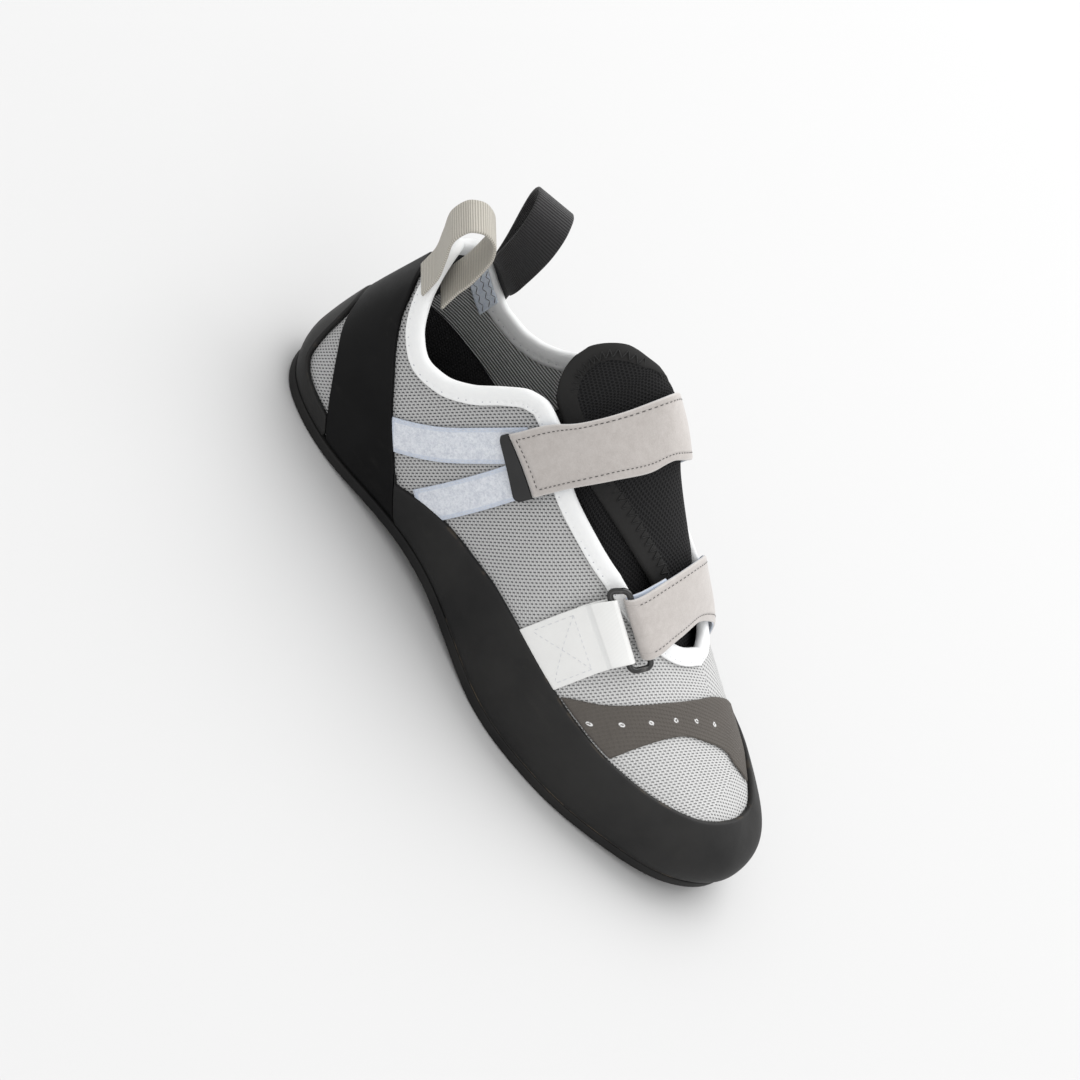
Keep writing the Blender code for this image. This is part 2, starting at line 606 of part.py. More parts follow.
def make_binding():
    front = way_at(THROAT_FRONT)
    ways = RIBS[RIBS <= front + 0.01]
    c = np.concatenate([ways[::-1], 2 * HALF - ways[1:-1]])
    t = np.minimum(edge_share(c), 1.0)
    edge = wall(c, t, 0.0)
    ahead = unit(np.roll(edge, -1, 0) - np.roll(edge, 1, 0))
    along, upward = slopes(c, t)
    normal = unit(np.cross(along, upward))
    down = unit(np.cross(normal, ahead))
    rows = []
    for far, depth in zip(BINDING_SECTION["down"], BINDING_SECTION["depth"]):
        cc, tt = walk(c, t, down * far)
        rows.append(above(cc, tt, np.full(len(cc), depth)))
    points = np.stack(rows, 1)
    faces = [(a, d, c, b) for a, b, c, d in tube_faces(*points.shape[:2])]
    add_piece("collar_binding", points.reshape(-1, 3), faces, "binding_white")


def make_tongue():
    lateral = way_at(np.array(TONGUE_STATIONS))
    medial = 2 * HALF - lateral[::-1]
    flap = share_at(lateral, level(FLAP_EDGE, lateral), TONGUE_FORM)
    tucked = 2 - np.minimum(edge_share(medial[::-1]), TUCK_FROM) + TONGUE_TUCK
    end = smooth(FLAP_END["station"], FLAP_END["share"], station_of(lateral))
    end = np.where(station_of(lateral) < FLAP_END["station"][-1], np.minimum(end, tucked), tucked)
    over = (2 - np.maximum(end, 1.0))[::-1]
    form_patch("tongue_medial", [(lateral, flap, np.minimum(end, 1.0)), (medial, over, np.ones(len(medial)))],
               TONGUE_OVER, "mesh_black", TONGUE_FORM)
    lateral = lateral[station_of(lateral) > UNDER_FLAP_START - 0.1]
    flap = share_at(lateral, level(FLAP_EDGE, lateral), TONGUE_FORM)
    tucked = np.minimum(edge_share(lateral), TUCK_FROM) - TONGUE_TUCK
    lapped = np.minimum(flap + FLAP_LAP, 0.99)
    form_patch("tongue_lateral", [(lateral, tucked, lapped)], TONGUE_UNDER, "mesh_black", TONGUE_FORM)


def make_toe_band():
    across = np.linspace(0, 1, BAND_STEPS[0])[:, None]
    width = np.linspace(0, 1, BAND_STEPS[1])[None, :]
    rear = smooth(TOE_BAND["across"], TOE_BAND["rear"], across)
    front = smooth(TOE_BAND["across"], TOE_BAND["front"], across)
    way = way_at(rear + (front - rear) * width)
    low = share_at(way.ravel(), sided(RAND_TOP, way.ravel()) + SEAM).reshape(way.shape)
    far = 2 * HALF - way.ravel()
    high = 2 - share_at(far, sided(RAND_TOP, far) + SEAM).reshape(way.shape)
    share = low + (high - low) * across
    outer = wall(way, share, BAND[1]).reshape(-1, 3)
    inner = wall(way, share, BAND[0]).reshape(-1, 3)
    faces = [face[::-1] for face in grid_faces(*BAND_STEPS)]
    thick_sheet("toe_band", outer, inner, faces, "overlay_taupe")


# Straps, patches and ring

class Strip:
    # Smooth strip tied to the form at a few places, straight or bowed across, measured by its own length
    def __init__(self, table, width):
        rows = np.linspace(0, 1, len(table["station"]))
        ways = way_at(np.array(table["station"], float))

        def place(where):
            return wrap(smooth(rows, ways, where), smooth(rows, table["across"], where))

        c, t = place(rows)
        ahead = wall(*place(rows + 0.01), 0.0) - wall(*place(rows - 0.01), 0.0)
        along, upward = slopes(c, t)
        side = unit(np.cross(np.cross(along, upward), ahead)) * width / 2
        depth = np.array(table["depth"])
        left = above(*walk(c, t, -side), depth)
        right = above(*walk(c, t, side), depth)
        self.half = width / 2
        self.middle = (left + right) / 2
        self.side = right - left
        self.bow = (above(c, t, depth) - self.middle) * np.array(table["bow"])[:, None]
        self.run = np.concatenate([[0], np.cumsum(np.linalg.norm(np.diff(self.middle, axis=0), axis=1))])
        self.length = self.run[-1]

    def at(self, columns, run):
        return np.stack([flowing(self.run, columns[:, k], run) for k in range(3)], -1)

    def point(self, run, aside, lift):
        # Points at a distance along the strip, aside from its middle and lifted off it
        inside = np.clip(run, 0.5, self.length - 0.5)
        ahead = unit(self.at(self.middle, inside + 0.5) - self.at(self.middle, inside - 0.5))
        side = unit(self.at(self.side, run))
        bowed = self.at(self.bow, run) * np.clip(1 - (aside / self.half) ** 2, 0, 1)[..., None]
        lifted = unit(np.cross(ahead, side)) * lift[..., None]
        return self.at(self.middle, run) + side * aside[..., None] + bowed + lifted


def ribbon(name, strip, profile, thick, widths, finish, columns=3):
    # Band along a strip. The profile holds the distance along it and the lift of the band's middle.
    profile = np.asarray(profile, float)
    ahead = unit(np.gradient(profile, axis=0))
    beside = np.stack([-ahead[:, 1], ahead[:, 0]], -1) * thick / 2
    aside = np.linspace(-0.5, 0.5, columns)[None] * np.broadcast_to(widths, len(profile))[:, None]
    sheets = []
    for edge in (profile + beside, profile - beside):
        run = np.broadcast_to(edge[:, :1], aside.shape)
        lift = np.broadcast_to(edge[:, 1:], aside.shape)
        sheets.append(strip.point(run, aside, lift).reshape(-1, 3))
    return thick_sheet(name, sheets[0], sheets[1], grid_faces(len(profile), columns), finish)


def lay(runs, lifts, step):
    # Profile that follows a table of lifts along a strip
    at = np.linspace(runs[0], runs[-1], int(round((runs[-1] - runs[0]) / step)) + 1)
    return np.stack([at, smooth(runs, lifts, at)], -1)


def fold(run, radius, turn):
    # Half turn of a band round a bar, from its upper layer to its lower one
    angle = np.linspace(np.pi / 2, -np.pi / 2, 7)
    return np.stack([run + turn * radius * np.cos(angle), radius * np.sin(angle)], -1)


def make_straps():
    strip = Strip(STRAP_UPPER, STRAP_WIDTH)
    end = strip.length - TAB_LENGTH
    ribbon("strap_upper", strip, lay((0, end), (0, 0), STRAP_STEP), STRAP, STRAP_WIDTH, "suede_grey")
    tab = np.array(TAB_SHAPE["run"])
    profile = np.stack([end + tab, np.full(len(tab), TAB_LIFT)], -1)
    ribbon("strap_upper_tab", strip, profile, TAB, STRAP_WIDTH + np.array(TAB_SHAPE["wider"]), "label_black")
    for name, table in (("loop_patch_upper", PATCH_UPPER), ("loop_patch_lower", PATCH_LOWER)):
        strip = Strip(table, PATCH_WIDTH)
        ribbon(name, strip, lay((0, strip.length), (0, 0), STRAP_STEP), PATCH, PATCH_WIDTH, "patch_pale")


def make_ring_and_strap():
    strip = Strip(STRAP_LOWER, STRAP_WIDTH)
    bar = strip.run[RING_TIE]
    turn = RING_WIRE + GAP + STRAP / 2
    top = lay((0, bar - STRAP_RISE, bar), (0, 0, turn), STRAP_STEP)
    around = fold(bar, turn, 1)[1:]
    under = np.stack([bar - np.array(STRAP_TURN_BACK["run"]), np.array(STRAP_TURN_BACK["lift"])], -1)
    ribbon("strap_lower", strip, np.concatenate([top, around, under]), STRAP, STRAP_WIDTH, "suede_grey")

    low_bar = bar + RING_HIGH
    turn = RING_WIRE + GAP + RING_TAB / 2
    under = np.stack([low_bar + np.array(TAB_TURN_BACK["run"]), np.array(TAB_TURN_BACK["lift"])], -1)
    around = fold(low_bar, turn, -1)[::-1]
    over = lay((low_bar + 4, low_bar + 14, strip.length), (turn - 0.6, 0, 0), STRAP_STEP)
    ribbon("ring_tab", strip, np.concatenate([under, around, over]), RING_TAB, RING_TAB_WIDTH,
           "binding_white")

    corner = np.linspace(0, np.pi / 2, 5)
    half_wide, half_high = RING_WIDE / 2 - RING_CORNER, RING_HIGH / 2 - RING_CORNER
    quarters = ((1, 1), (-1, 1), (-1, -1), (1, -1))
    middle = np.concatenate([np.stack([x * half_wide + RING_CORNER * np.cos(corner + q * np.pi / 2),
                                       y * half_high + RING_CORNER * np.sin(corner + q * np.pi / 2)], -1)
                             for q, (x, y) in enumerate(quarters)])
    run, aside = bar + RING_HIGH / 2 + middle[:, 1], middle[:, 0]
    centre = strip.point(run, aside, np.zeros(len(middle)))
    up = unit(strip.point(run, aside, np.ones(len(middle))) - centre)
    ahead = unit(np.roll(centre, -1, 0) - np.roll(centre, 1, 0))
    outer = unit(np.cross(ahead, up))
    up = np.cross(outer, ahead)
    around = np.linspace(0, 2 * np.pi, 9)[:-1]
    points = centre[:, None] + RING_WIRE * (np.cos(around)[None, :, None] * outer[:, None]
                                            + np.sin(around)[None, :, None] * up[:, None])
    add_piece("ring", points.reshape(-1, 3), tube_faces(*points.shape[:2]), "ring_black")


def make_pull_loops():
    for name, loop in PULL_LOOPS.items():
        out = np.array(LOOP_SECTIONS[name]["out"])
        up = np.array(LOOP_SECTIONS[name]["up"]) * loop["height"]
        run = np.concatenate([[0], np.cumsum(np.hypot(np.diff(out), np.diff(up)))])
        at = np.linspace(0, run[-1], LOOP_STEPS)
        line = np.stack([smooth(run, out, at), smooth(run, up, at)], -1)
        ahead = unit(np.gradient(line, axis=0))
        beside = np.stack([ahead[:, 1], -ahead[:, 0]], -1) * LOOP / 2
        c = way_at(loop["station"])
        c = np.array([c if loop["side"] < 0 else 2 * HALF - c])
        foot = wall(c, edge_share(c), 0.0)[0]
        high = np.clip(line[:, 1] / loop["height"], 0, 1)
        first = outward(c)[0]
        grown = high * high * (3 - 2 * high)
        angle = np.arctan2(first[1], first[0]) + np.radians(loop["turn"]) * grown
        normal = np.stack([np.cos(angle), np.sin(angle), 0 * angle], -1)
        tangent = unit(np.stack([normal[:, 1], -normal[:, 0], loop["tilt"] * (1 - grown)], -1))
        lean = np.array([*loop["lean"], 1.0])
        sheets = []
        for edge in (line + beside, line - beside):
            middle = foot + edge[:, :1] * normal + edge[:, 1:] * lean
            sides = np.array([-0.5, 0.5])[None, :, None] * loop["width"] * tangent[:, None]
            sheets.append((middle[:, None] + sides).reshape(-1, 3))
        finish = "webbing_beige" if loop["side"] < 0 else "webbing_black"
        thick_sheet(name, sheets[0], sheets[1], grid_faces(len(line), 2), finish)


for old in list(bpy.data.objects):
    bpy.data.objects.remove(old)
make_upper()
make_soles()
make_rand()
make_slingshot()
make_heel_rand()
make_binding()
make_tongue()
make_toe_band()
make_straps()
make_ring_and_strap()
make_pull_loops()
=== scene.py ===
# Climbing shoe for the right foot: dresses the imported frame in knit, rubber, mesh, suede and webbing
import bpy
import numpy as np
from mathutils import Matrix, Vector


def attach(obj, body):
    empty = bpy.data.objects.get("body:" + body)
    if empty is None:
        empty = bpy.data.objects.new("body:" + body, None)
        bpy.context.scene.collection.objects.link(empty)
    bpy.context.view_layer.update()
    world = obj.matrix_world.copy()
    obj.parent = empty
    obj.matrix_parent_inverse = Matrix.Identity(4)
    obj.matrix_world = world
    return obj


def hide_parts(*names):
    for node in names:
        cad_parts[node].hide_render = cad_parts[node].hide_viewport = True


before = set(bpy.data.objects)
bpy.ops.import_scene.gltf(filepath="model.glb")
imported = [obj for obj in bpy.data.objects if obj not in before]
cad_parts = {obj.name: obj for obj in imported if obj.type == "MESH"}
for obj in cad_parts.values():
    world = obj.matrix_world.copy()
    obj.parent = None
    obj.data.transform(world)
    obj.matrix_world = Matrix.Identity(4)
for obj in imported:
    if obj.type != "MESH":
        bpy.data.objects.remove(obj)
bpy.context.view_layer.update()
print("frame loaded:", len(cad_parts), "nodes")

# Everything is worked out in millimetres from the heel, then moved to the frame's metres
mm = 0.001
formCentre = np.array([132.5, -1.44, 0.0])

# The last, heel to toe: percent of length, ball width and instep height, then angles, shares and tuck
lastNames = ("along", "lateral", "medial", "girth", "topAlong", "topSide", "topHalf", "topRise",
             "fan", "leg", "sideFull", "topFull", "tuck")
lastRows = np.array([
    (0.0, 0.0, 0.0, 19.0, 3.5, 0.0, 0.0, 110, 90, 1.0, 0.35, 0.40, 4.5),  # heel back
    (2.9, -20.4, 20.4, 19.0, 6.2, 0.0, 17.0, 110, 90, 1.0, 0.35, 0.40, 3.8),  # heel turn
    (12.1, -31.4, 31.4, 19.5, 13.3, 0.5, 27.0, 110, 90, 1.0, 0.35, 0.40, 3.2),  # heel side
    (23.7, -33.3, 31.0, 21.0, 23.7, 1.0, 26.0, 110, 90, 1.0, 0.35, 0.42, 3.2),  # heel front
    (28.3, -34.2, 30.4, 21.6, 29.3, 1.5, 24.0, 114, 90, 0.9, 0.36, 0.36, 3.2),  # ankle side
    (31.3, -35.0, 30.0, 22.0, 33.6, 2.0, 18.5, 117, 90, 0.6, 0.38, 0.27, 3.2),  # ankle
    (34.4, -35.9, 30.1, 22.0, 36.5, 2.6, 10.0, 119, 90, 0.25, 0.42, 0.34, 3.0),  # instep top
    (37.5, -37.1, 30.6, 22.0, 37.5, 3.0, 0.0, 119, 90, 0.0, 0.45, 0.50, 2.8),  # waist
    (49.0, -44.6, 36.5, 20.0, 49.0, 4.3, 0.0, 100, 90, 0.0, 0.50, 0.50, 2.8),  # midfoot
    (62.5, -51.6, 45.7, 18.5, 62.5, 6.5, 0.0, 75, 90, 0.0, 0.55, 0.50, 2.0),  # outer ball
    (68.6, -50.5, 47.8, 17.5, 68.4, 7.6, 0.0, 62.5, 90, 0.0, 0.58, 0.50, 2.0),  # throat end
    (74.8, -47.3, 48.4, 16.5, 74.4, 8.6, 0.0, 54, 90, 0.0, 0.60, 0.50, 2.0),  # inner ball
    (86.0, -36.3, 43.5, 16.0, 84.0, 10.2, 0.0, 42.5, 88, 0.0, 0.60, 0.50, 2.0),  # toe side
    (94.8, -22.6, 33.9, 15.8, 89.8, 11.3, 0.0, 35.5, 70, 0.0, 0.60, 0.50, 2.0),  # toe turn
    (99.2, -5.4, 21.5, 15.8, 92.5, 11.8, 0.0, 32.2, 40, 0.0, 0.60, 0.50, 2.0),  # toe front
    (100.0, 8.6, 8.6, 15.8, 93.2, 11.8, 0.0, 31.2, 0, 0.0, 0.60, 0.50, 2.0),  # toe tip
])
longUnit, wideUnit, highUnit = 2.6, 0.93, 1.04
formUnits = (longUnit, wideUnit, wideUnit, highUnit)
lastUnits = np.array([*formUnits, *formUnits, np.pi / 180, 1, 1, 1, 1])
last = dict(zip(lastNames, (lastRows * lastUnits).T))
heelStart = 2.5
for name in ("along", "topAlong"):
    last[name] = last[name] + heelStart

# The tongue's own form: an arch like the waist's that closes over the ankle opening
tongueCrown = (106, 106, 108, 111.2, 119.8, 122.7, 124.6, 124.0)


def tongueForm():
    rear = len(tongueCrown)
    form = {name: values.copy() for name, values in last.items()}
    form["topAlong"][:rear] = form["along"][:rear]
    form["topRise"][:rear] = np.array(tongueCrown) * highUnit
    for name in ("topHalf", "leg", "sideFull", "topFull"):
        form[name][:rear] = form[name][rear - 1]
    return form


arched = tongueForm()
sole = dict(thick=4.5, gap=0.3, archRise=7.0, archAt=96.0, archReach=60.0, archTilt=0.004,
            spring=7.5, springFrom=188.0, springReach=77.0, bevel=2.5, bevelTo=16.0)
girthShare = 0.22
featherAngle = np.radians(30)
shareStep = 0.004


# Cubic pieces with given slopes at the knots, held level past the ends
def hermite(knots, values, slope, at):
    at = np.clip(at, knots[0], knots[-1])
    i = np.clip(np.searchsorted(knots, at, side="right") - 1, 0, len(knots) - 2)
    step = knots[i + 1] - knots[i]
    t = (at - knots[i]) / step
    ends = (1 + 2 * t) * (1 - t) ** 2 * values[i] + t * t * (3 - 2 * t) * values[i + 1]
    return ends + step * t * (1 - t) * ((1 - t) * slope[i] - t * slope[i + 1])


# Monotone cubic: the slope at a knot is the harmonic mean of its neighbours, or none at a turn
def smooth(knots, values, at):
    knots = np.asarray(knots, float)
    values = np.asarray(values, float)
    step = np.diff(knots)
    slope = np.diff(values) / step
    before, after = slope[:-1], slope[1:]
    w1 = 2 * step[1:] + step[:-1]
    w2 = step[1:] + 2 * step[:-1]
    turning = before * after <= 0
    mean = (w1 + w2) * before * after / np.where(turning, 1.0, w1 * after + w2 * before)
    inner = np.where(turning, 0.0, mean)
    return hermite(knots, values, np.concatenate([slope[:1], inner, slope[-1:]]), at)


# Rounded cubic: the slope at a knot is that of the parabola through it and its neighbours
def flowing(knots, values, at):
    step = np.diff(knots)
    slope = np.diff(values) / step
    inner = (step[1:] * slope[:-1] + step[:-1] * slope[1:]) / (step[1:] + step[:-1])
    ends = 2 * slope[[0, -1]] - inner[[0, -1]]
    return hermite(knots, values, np.concatenate([ends[:1], inner, ends[1:]]), at)


def unit(v):
    return v / (np.linalg.norm(v, axis=-1, keepdims=True) + 1e-12)


sideSteps = [np.hypot(np.diff(last["along"]), np.diff(last[side])) for side in ("lateral", "medial")]
knots = np.concatenate([[0], np.cumsum((sideSteps[0] + sideSteps[1]) / 2)])
half = knots[-1]
loopKnots = np.concatenate([knots, 2 * half - knots[-2:0:-1]])
loopLine = np.stack([np.concatenate([last["along"], last["along"][-2:0:-1]]),
                     np.concatenate([last["lateral"], last["medial"][-2:0:-1]])], -1)
loopStep = np.diff(np.append(loopKnots, 2 * half))[:, None]


# Second derivatives of the periodic cubic spline through the outline
def outlineBend():
    count = len(loopKnots)
    here = np.arange(count)
    before = np.roll(loopStep, 1, 0)
    matrix = np.zeros((count, count))
    matrix[here, here - 1] += before[:, 0]
    matrix[here, here] += 2 * (before + loopStep)[:, 0]
    matrix[here, (here + 1) % count] += loopStep[:, 0]
    ahead = (np.roll(loopLine, -1, 0) - loopLine) / loopStep
    behind = (loopLine - np.roll(loopLine, 1, 0)) / before
    return np.linalg.solve(matrix, 6 * (ahead - behind))


loopBend = outlineBend()


def outline(c):
    c = np.mod(c, 2 * half)
    i = np.clip(np.searchsorted(loopKnots, c, side="right") - 1, 0, len(loopKnots) - 1)
    q = (i + 1) % len(loopKnots)
    h = loopStep[i]
    u = (c - loopKnots[i])[..., None]
    w = h - u
    cubic = (loopBend[i] * w ** 3 + loopBend[q] * u ** 3) / (6 * h)
    first = (loopLine[i] / h - loopBend[i] * h / 6) * w
    return cubic + first + (loopLine[q] / h - loopBend[q] * h / 6) * u


def outward(c):
    ahead = unit(outline(c + 0.5) - outline(c - 0.5))
    return np.stack([ahead[..., 1], -ahead[..., 0]], -1)


def ridge(s, form=last):
    s = np.clip(s, 0, half)
    return np.stack([smooth(knots, form[name], s) for name in ("topAlong", "topSide", "topRise")], -1)


# Height of the sole's underside: a cosine arch, a parabola at the toe and one at the heel
def soleBottom(x, y):
    near = np.clip((x - sole["archAt"]) / sole["archReach"], -1, 1)
    arch = sole["archRise"] * (0.5 + 0.5 * np.cos(np.pi * near)) * (1 + sole["archTilt"] * y)
    toe = sole["spring"] * np.clip((x - sole["springFrom"]) / sole["springReach"], 0, 1) ** 2
    heel = sole["bevel"] * np.clip((sole["bevelTo"] - x) / sole["bevelTo"], 0, 1) ** 2
    return arch + toe + heel


# The form: c goes round the shoe, t up a rib from feather line to ridge, d out from the knit's face.
# Below the girth a rib is a piece of an ellipse, above it a cubic Bezier to the ridge.
def wall(c, t, d, form=last):
    c, t, d = np.broadcast_arrays(np.asarray(c, float), np.asarray(t, float), np.asarray(d, float))
    c = np.mod(c, 2 * half)
    over = t > 1
    c = np.where(over, 2 * half - c, c)
    t = np.where(over, 2 - t, t)
    s = np.where(c <= half, c, 2 * half - c)
    side = np.where(c <= half, -1.0, 1.0)
    at = {name: smooth(knots, form[name], s) for name in lastNames[3:]}
    none = np.zeros_like(s)
    out = outward(c)
    line = outline(c)
    away = d[..., None]
    girth = np.concatenate([line + out * away, at["girth"][..., None]], -1)
    under = line + out * (away - at["tuck"][..., None])
    seat = soleBottom(under[..., 0], under[..., 1]) + sole["thick"] + sole["gap"]
    feather = np.concatenate([under, seat[..., None]], -1)
    along = unit(ridge(s + 0.5, form) - ridge(s - 0.5, form))
    up = unit(np.stack([-along[..., 2], none, along[..., 0]], -1))
    across = np.stack([none, side, none], -1)
    fan = at["fan"][..., None]
    leg = at["leg"][..., None]
    spread = unit(np.cos(fan) * along + np.sin(fan) * across)
    handle = unit((1 - leg) * spread + leg * np.array([0, 0, -1.0]))
    top = ridge(s, form) + across * at["topHalf"][..., None]
    top = top + away * ((1 - leg) * up + leg * np.concatenate([out, none[..., None]], -1))
    span = np.linalg.norm((girth - top)[..., :2], axis=-1)
    rise = top[..., 2] - girth[..., 2]
    reach = at["topFull"] * ((1 - at["leg"]) * span + at["leg"] * rise)
    lift = np.stack([none, none, at["sideFull"] * rise], -1)
    turn = featherAngle + (np.pi / 2 - featherAngle) * np.clip(t / girthShare, 0, 1)
    inward = ((1 - np.sin(turn)) / (1 - np.sin(featherAngle)))[..., None]
    down = (np.cos(turn) / np.cos(featherAngle))[..., None]
    low = girth + (feather - girth) * np.concatenate([inward, inward, down], -1)
    g = np.clip((t - girthShare) / (1 - girthShare), 0, 1)[..., None]
    high = ((1 - g) ** 3 * girth + 3 * g * (1 - g) ** 2 * (girth + lift)
            + 3 * g * g * (1 - g) * (top + handle * reach[..., None]) + g ** 3 * top)
    return np.where((t < girthShare)[..., None], low, high)


fine = np.linspace(0, 1, 161)
fineLoop = np.linspace(0, half, 1201)
fineStation = outline(fineLoop)[:, 0]


def wayAt(station):
    return np.interp(station, fineStation, fineLoop)


def sideWay(c):
    c = np.mod(c, 2 * half)
    return np.where(c <= half, c, 2 * half - c)


def stationOf(c):
    return np.interp(sideWay(c), fineLoop, fineStation)


# Value of a table with one row per rib at a share of each rib, straight between its columns
def lookUp(table, share):
    place = np.clip(share, 0, 1) * (fine.size - 1)
    i = np.minimum(place.astype(int), fine.size - 2)
    part = place - i
    return np.take_along_axis(table, i, 1) * (1 - part) + np.take_along_axis(table, i + 1, 1) * part


# Share of each rib at which it reaches a height
def shareAt(c, height, form=last):
    c = np.asarray(c, float)
    height = np.broadcast_to(np.asarray(height, float), c.shape)[:, None]
    heights = np.maximum.accumulate(wall(c[:, None], fine[None], 0.0, form)[..., 2], axis=1)
    i = np.clip((heights < height).sum(1, keepdims=True) - 1, 0, fine.size - 2)
    low = np.take_along_axis(heights, i, 1)
    high = np.take_along_axis(heights, i + 1, 1)
    part = np.clip((height - low) / np.maximum(high - low, 1e-9), 0, 1)
    return ((i + part) / (fine.size - 1))[:, 0]


def sided(table, c):
    station = stationOf(c)
    lateral = smooth(table["station"], table["lateral"], station)
    medial = smooth(table["station"], table["medial"], station)
    return np.where(np.mod(c, 2 * half) <= half, lateral, medial)


def level(table, c):
    return smooth(table["station"], table["height"], stationOf(c))


def wrap(c, t):
    over = t > 1
    return np.where(over, 2 * half - c, c), np.where(over, 2 - t, t)


def slopes(c, t):
    along = wall(c + 0.5, t, 0.0) - wall(c - 0.5, t, 0.0)
    upward = (wall(c, t + shareStep, 0.0) - wall(c, t - shareStep, 0.0)) / (2 * shareStep)
    return along, upward


# Point at a height over the form, square to it
def above(c, t, height):
    return wall(c, t, 0.0) + unit(np.cross(*slopes(c, t))) * np.asarray(height)[..., None]


# Place on the form reached by a short move in space, in two steps
def walk(c, t, move):
    for _ in range(2):
        along, upward = slopes(c, t)
        a, b, e = (along * along).sum(-1), (along * upward).sum(-1), (upward * upward).sum(-1)
        p, q = (along * move / 2).sum(-1), (upward * move / 2).sum(-1)
        det = a * e - b * b
        c, t = wrap(c + (e * p - b * q) / det, t + (a * q - b * p) / det)
    return c, t


# Length down each rib from the ridge, at even shares, in space or in the plane of two axes
def ribLengths(c, form=last, axes=slice(0, 3)):
    ribs = wall(c[:, None], fine[None], 0.0, form)[..., axes]
    steps = np.linalg.norm(np.diff(ribs, axis=1), axis=2)
    down = np.cumsum(steps[:, ::-1], axis=1)[:, ::-1]
    return np.concatenate([down, np.zeros((len(c), 1))], 1)


knitLie = dict(girth=girthShare, heel=45.0, front=44.9)


# Flat lie of the knit in millimetres: along the shoe, and up the side from the girth. Past the throat it
# is measured from the ridge line, at a distance that lets both sides of the pattern meet there.
def clothLie(c, share):
    rise = ribLengths(c, axes=slice(1, 3))
    whole = lookUp(rise, np.full((len(c), 1), knitLie["girth"]))
    side = np.where(np.mod(c, 2 * half) <= half, -1.0, 1.0)[:, None]
    heel = knitLie["heel"]
    behind = np.minimum(sideWay(c) - wayAt(heel), 0) - np.minimum(stationOf(c) - heel, 0)
    along = wall(c[:, None], share, 0.0)[..., 0] + behind[:, None]
    return np.stack([along, side * (lookUp(rise, share) - np.maximum(whole, knitLie["front"]))], -1)


# Edge lines by station
collarLine = dict(station=(2.5, 9, 17, 29, 39, 48, 57, 65, 71, 77, 84, 97, 110, 123, 133, 145),
                  lateral=(88, 83, 75, 66, 62.5, 64.5, 71, 81.5, 89.5, 92.5, 91.5, 86, 80.6, 78, 76.5, 75),
                  medial=(88, 85, 79, 72, 69, 69.5, 72.5, 78.5, 86, 91.5, 93, 90, 86, 83, 81, 78.5))
throatLine = dict(station=(145, 154, 163, 172, 179, 183.5, 186.6),
                  lateral=(0.65, 0.682, 0.725, 0.785, 0.85, 0.915, 1.0),
                  medial=(0.69, 0.718, 0.755, 0.805, 0.86, 0.92, 1.0))
randTop = dict(station=(66, 83, 94, 109, 123, 140, 160, 172, 198, 218, 235, 250, 262.7),
               lateral=(20.5, 28.8, 32, 34.5, 36.5, 37, 36, 34.6, 32, 31.5, 32, 32.3, 31.4),
               medial=(20.5, 28.8, 32, 34.5, 36, 36.5, 36.5, 36, 35.5, 36.2, 36.4, 33.9, 31.4))
slingFront = dict(station=(2.5, 10, 18, 29, 36, 48, 60, 68, 84),
                  height=(75, 71, 63, 54, 48.5, 38, 28.5, 21.8, 5))
slingBack = dict(station=(2.5, 5, 8, 17, 32, 41), height=(44, 42, 38, 30.5, 14.5, 3))
heelRandTop = dict(station=(2.5, 4.5, 6.5, 8.5, 11, 18, 32), height=(43, 41, 34, 23, 16, 13.5, 13))
throatFront = throatLine["station"][-1]


# Upper edge of the knit: collar by height, throat by share, closed over the ridge in front
def edgeShare(c):
    station = stationOf(c)
    collar = shareAt(c, sided(collarLine, c))
    ahead = np.where(station < throatFront, sided(throatLine, c), 1.0)
    return np.where(station < collarLine["station"][-1], collar, ahead)


# Meshes

# Length along a line of points
def runOf(line):
    return np.concatenate([[0], np.cumsum(np.linalg.norm(np.diff(line, axis=0), axis=1))])


# Closed sections of a sheet: over its front, back along its rear face and on to the first point
def closed(front, rear):
    return np.concatenate([front, rear[:, ::-1], front[:, :1]], 1)


def closedMaps(**maps):
    return {name: closed(lie, lie) for name, lie in maps.items()}


def gridQuads(rows, columns):
    i, j = np.meshgrid(np.arange(rows - 1), np.arange(columns - 1), indexing="ij")
    first = (i * columns + j).ravel()
    return np.stack([first, first + columns, first + columns + 1, first + 1], -1)


# Caps of a swept tube: its first and last section, each crossed by quads from side to side
def capQuads(rows, columns):
    k = np.arange((columns - 1) // 2)
    cap = np.stack([k, k + 1, columns - 2 - k, columns - 1 - k], -1)
    return np.concatenate([cap, cap[:, ::-1] + (rows - 1) * columns])


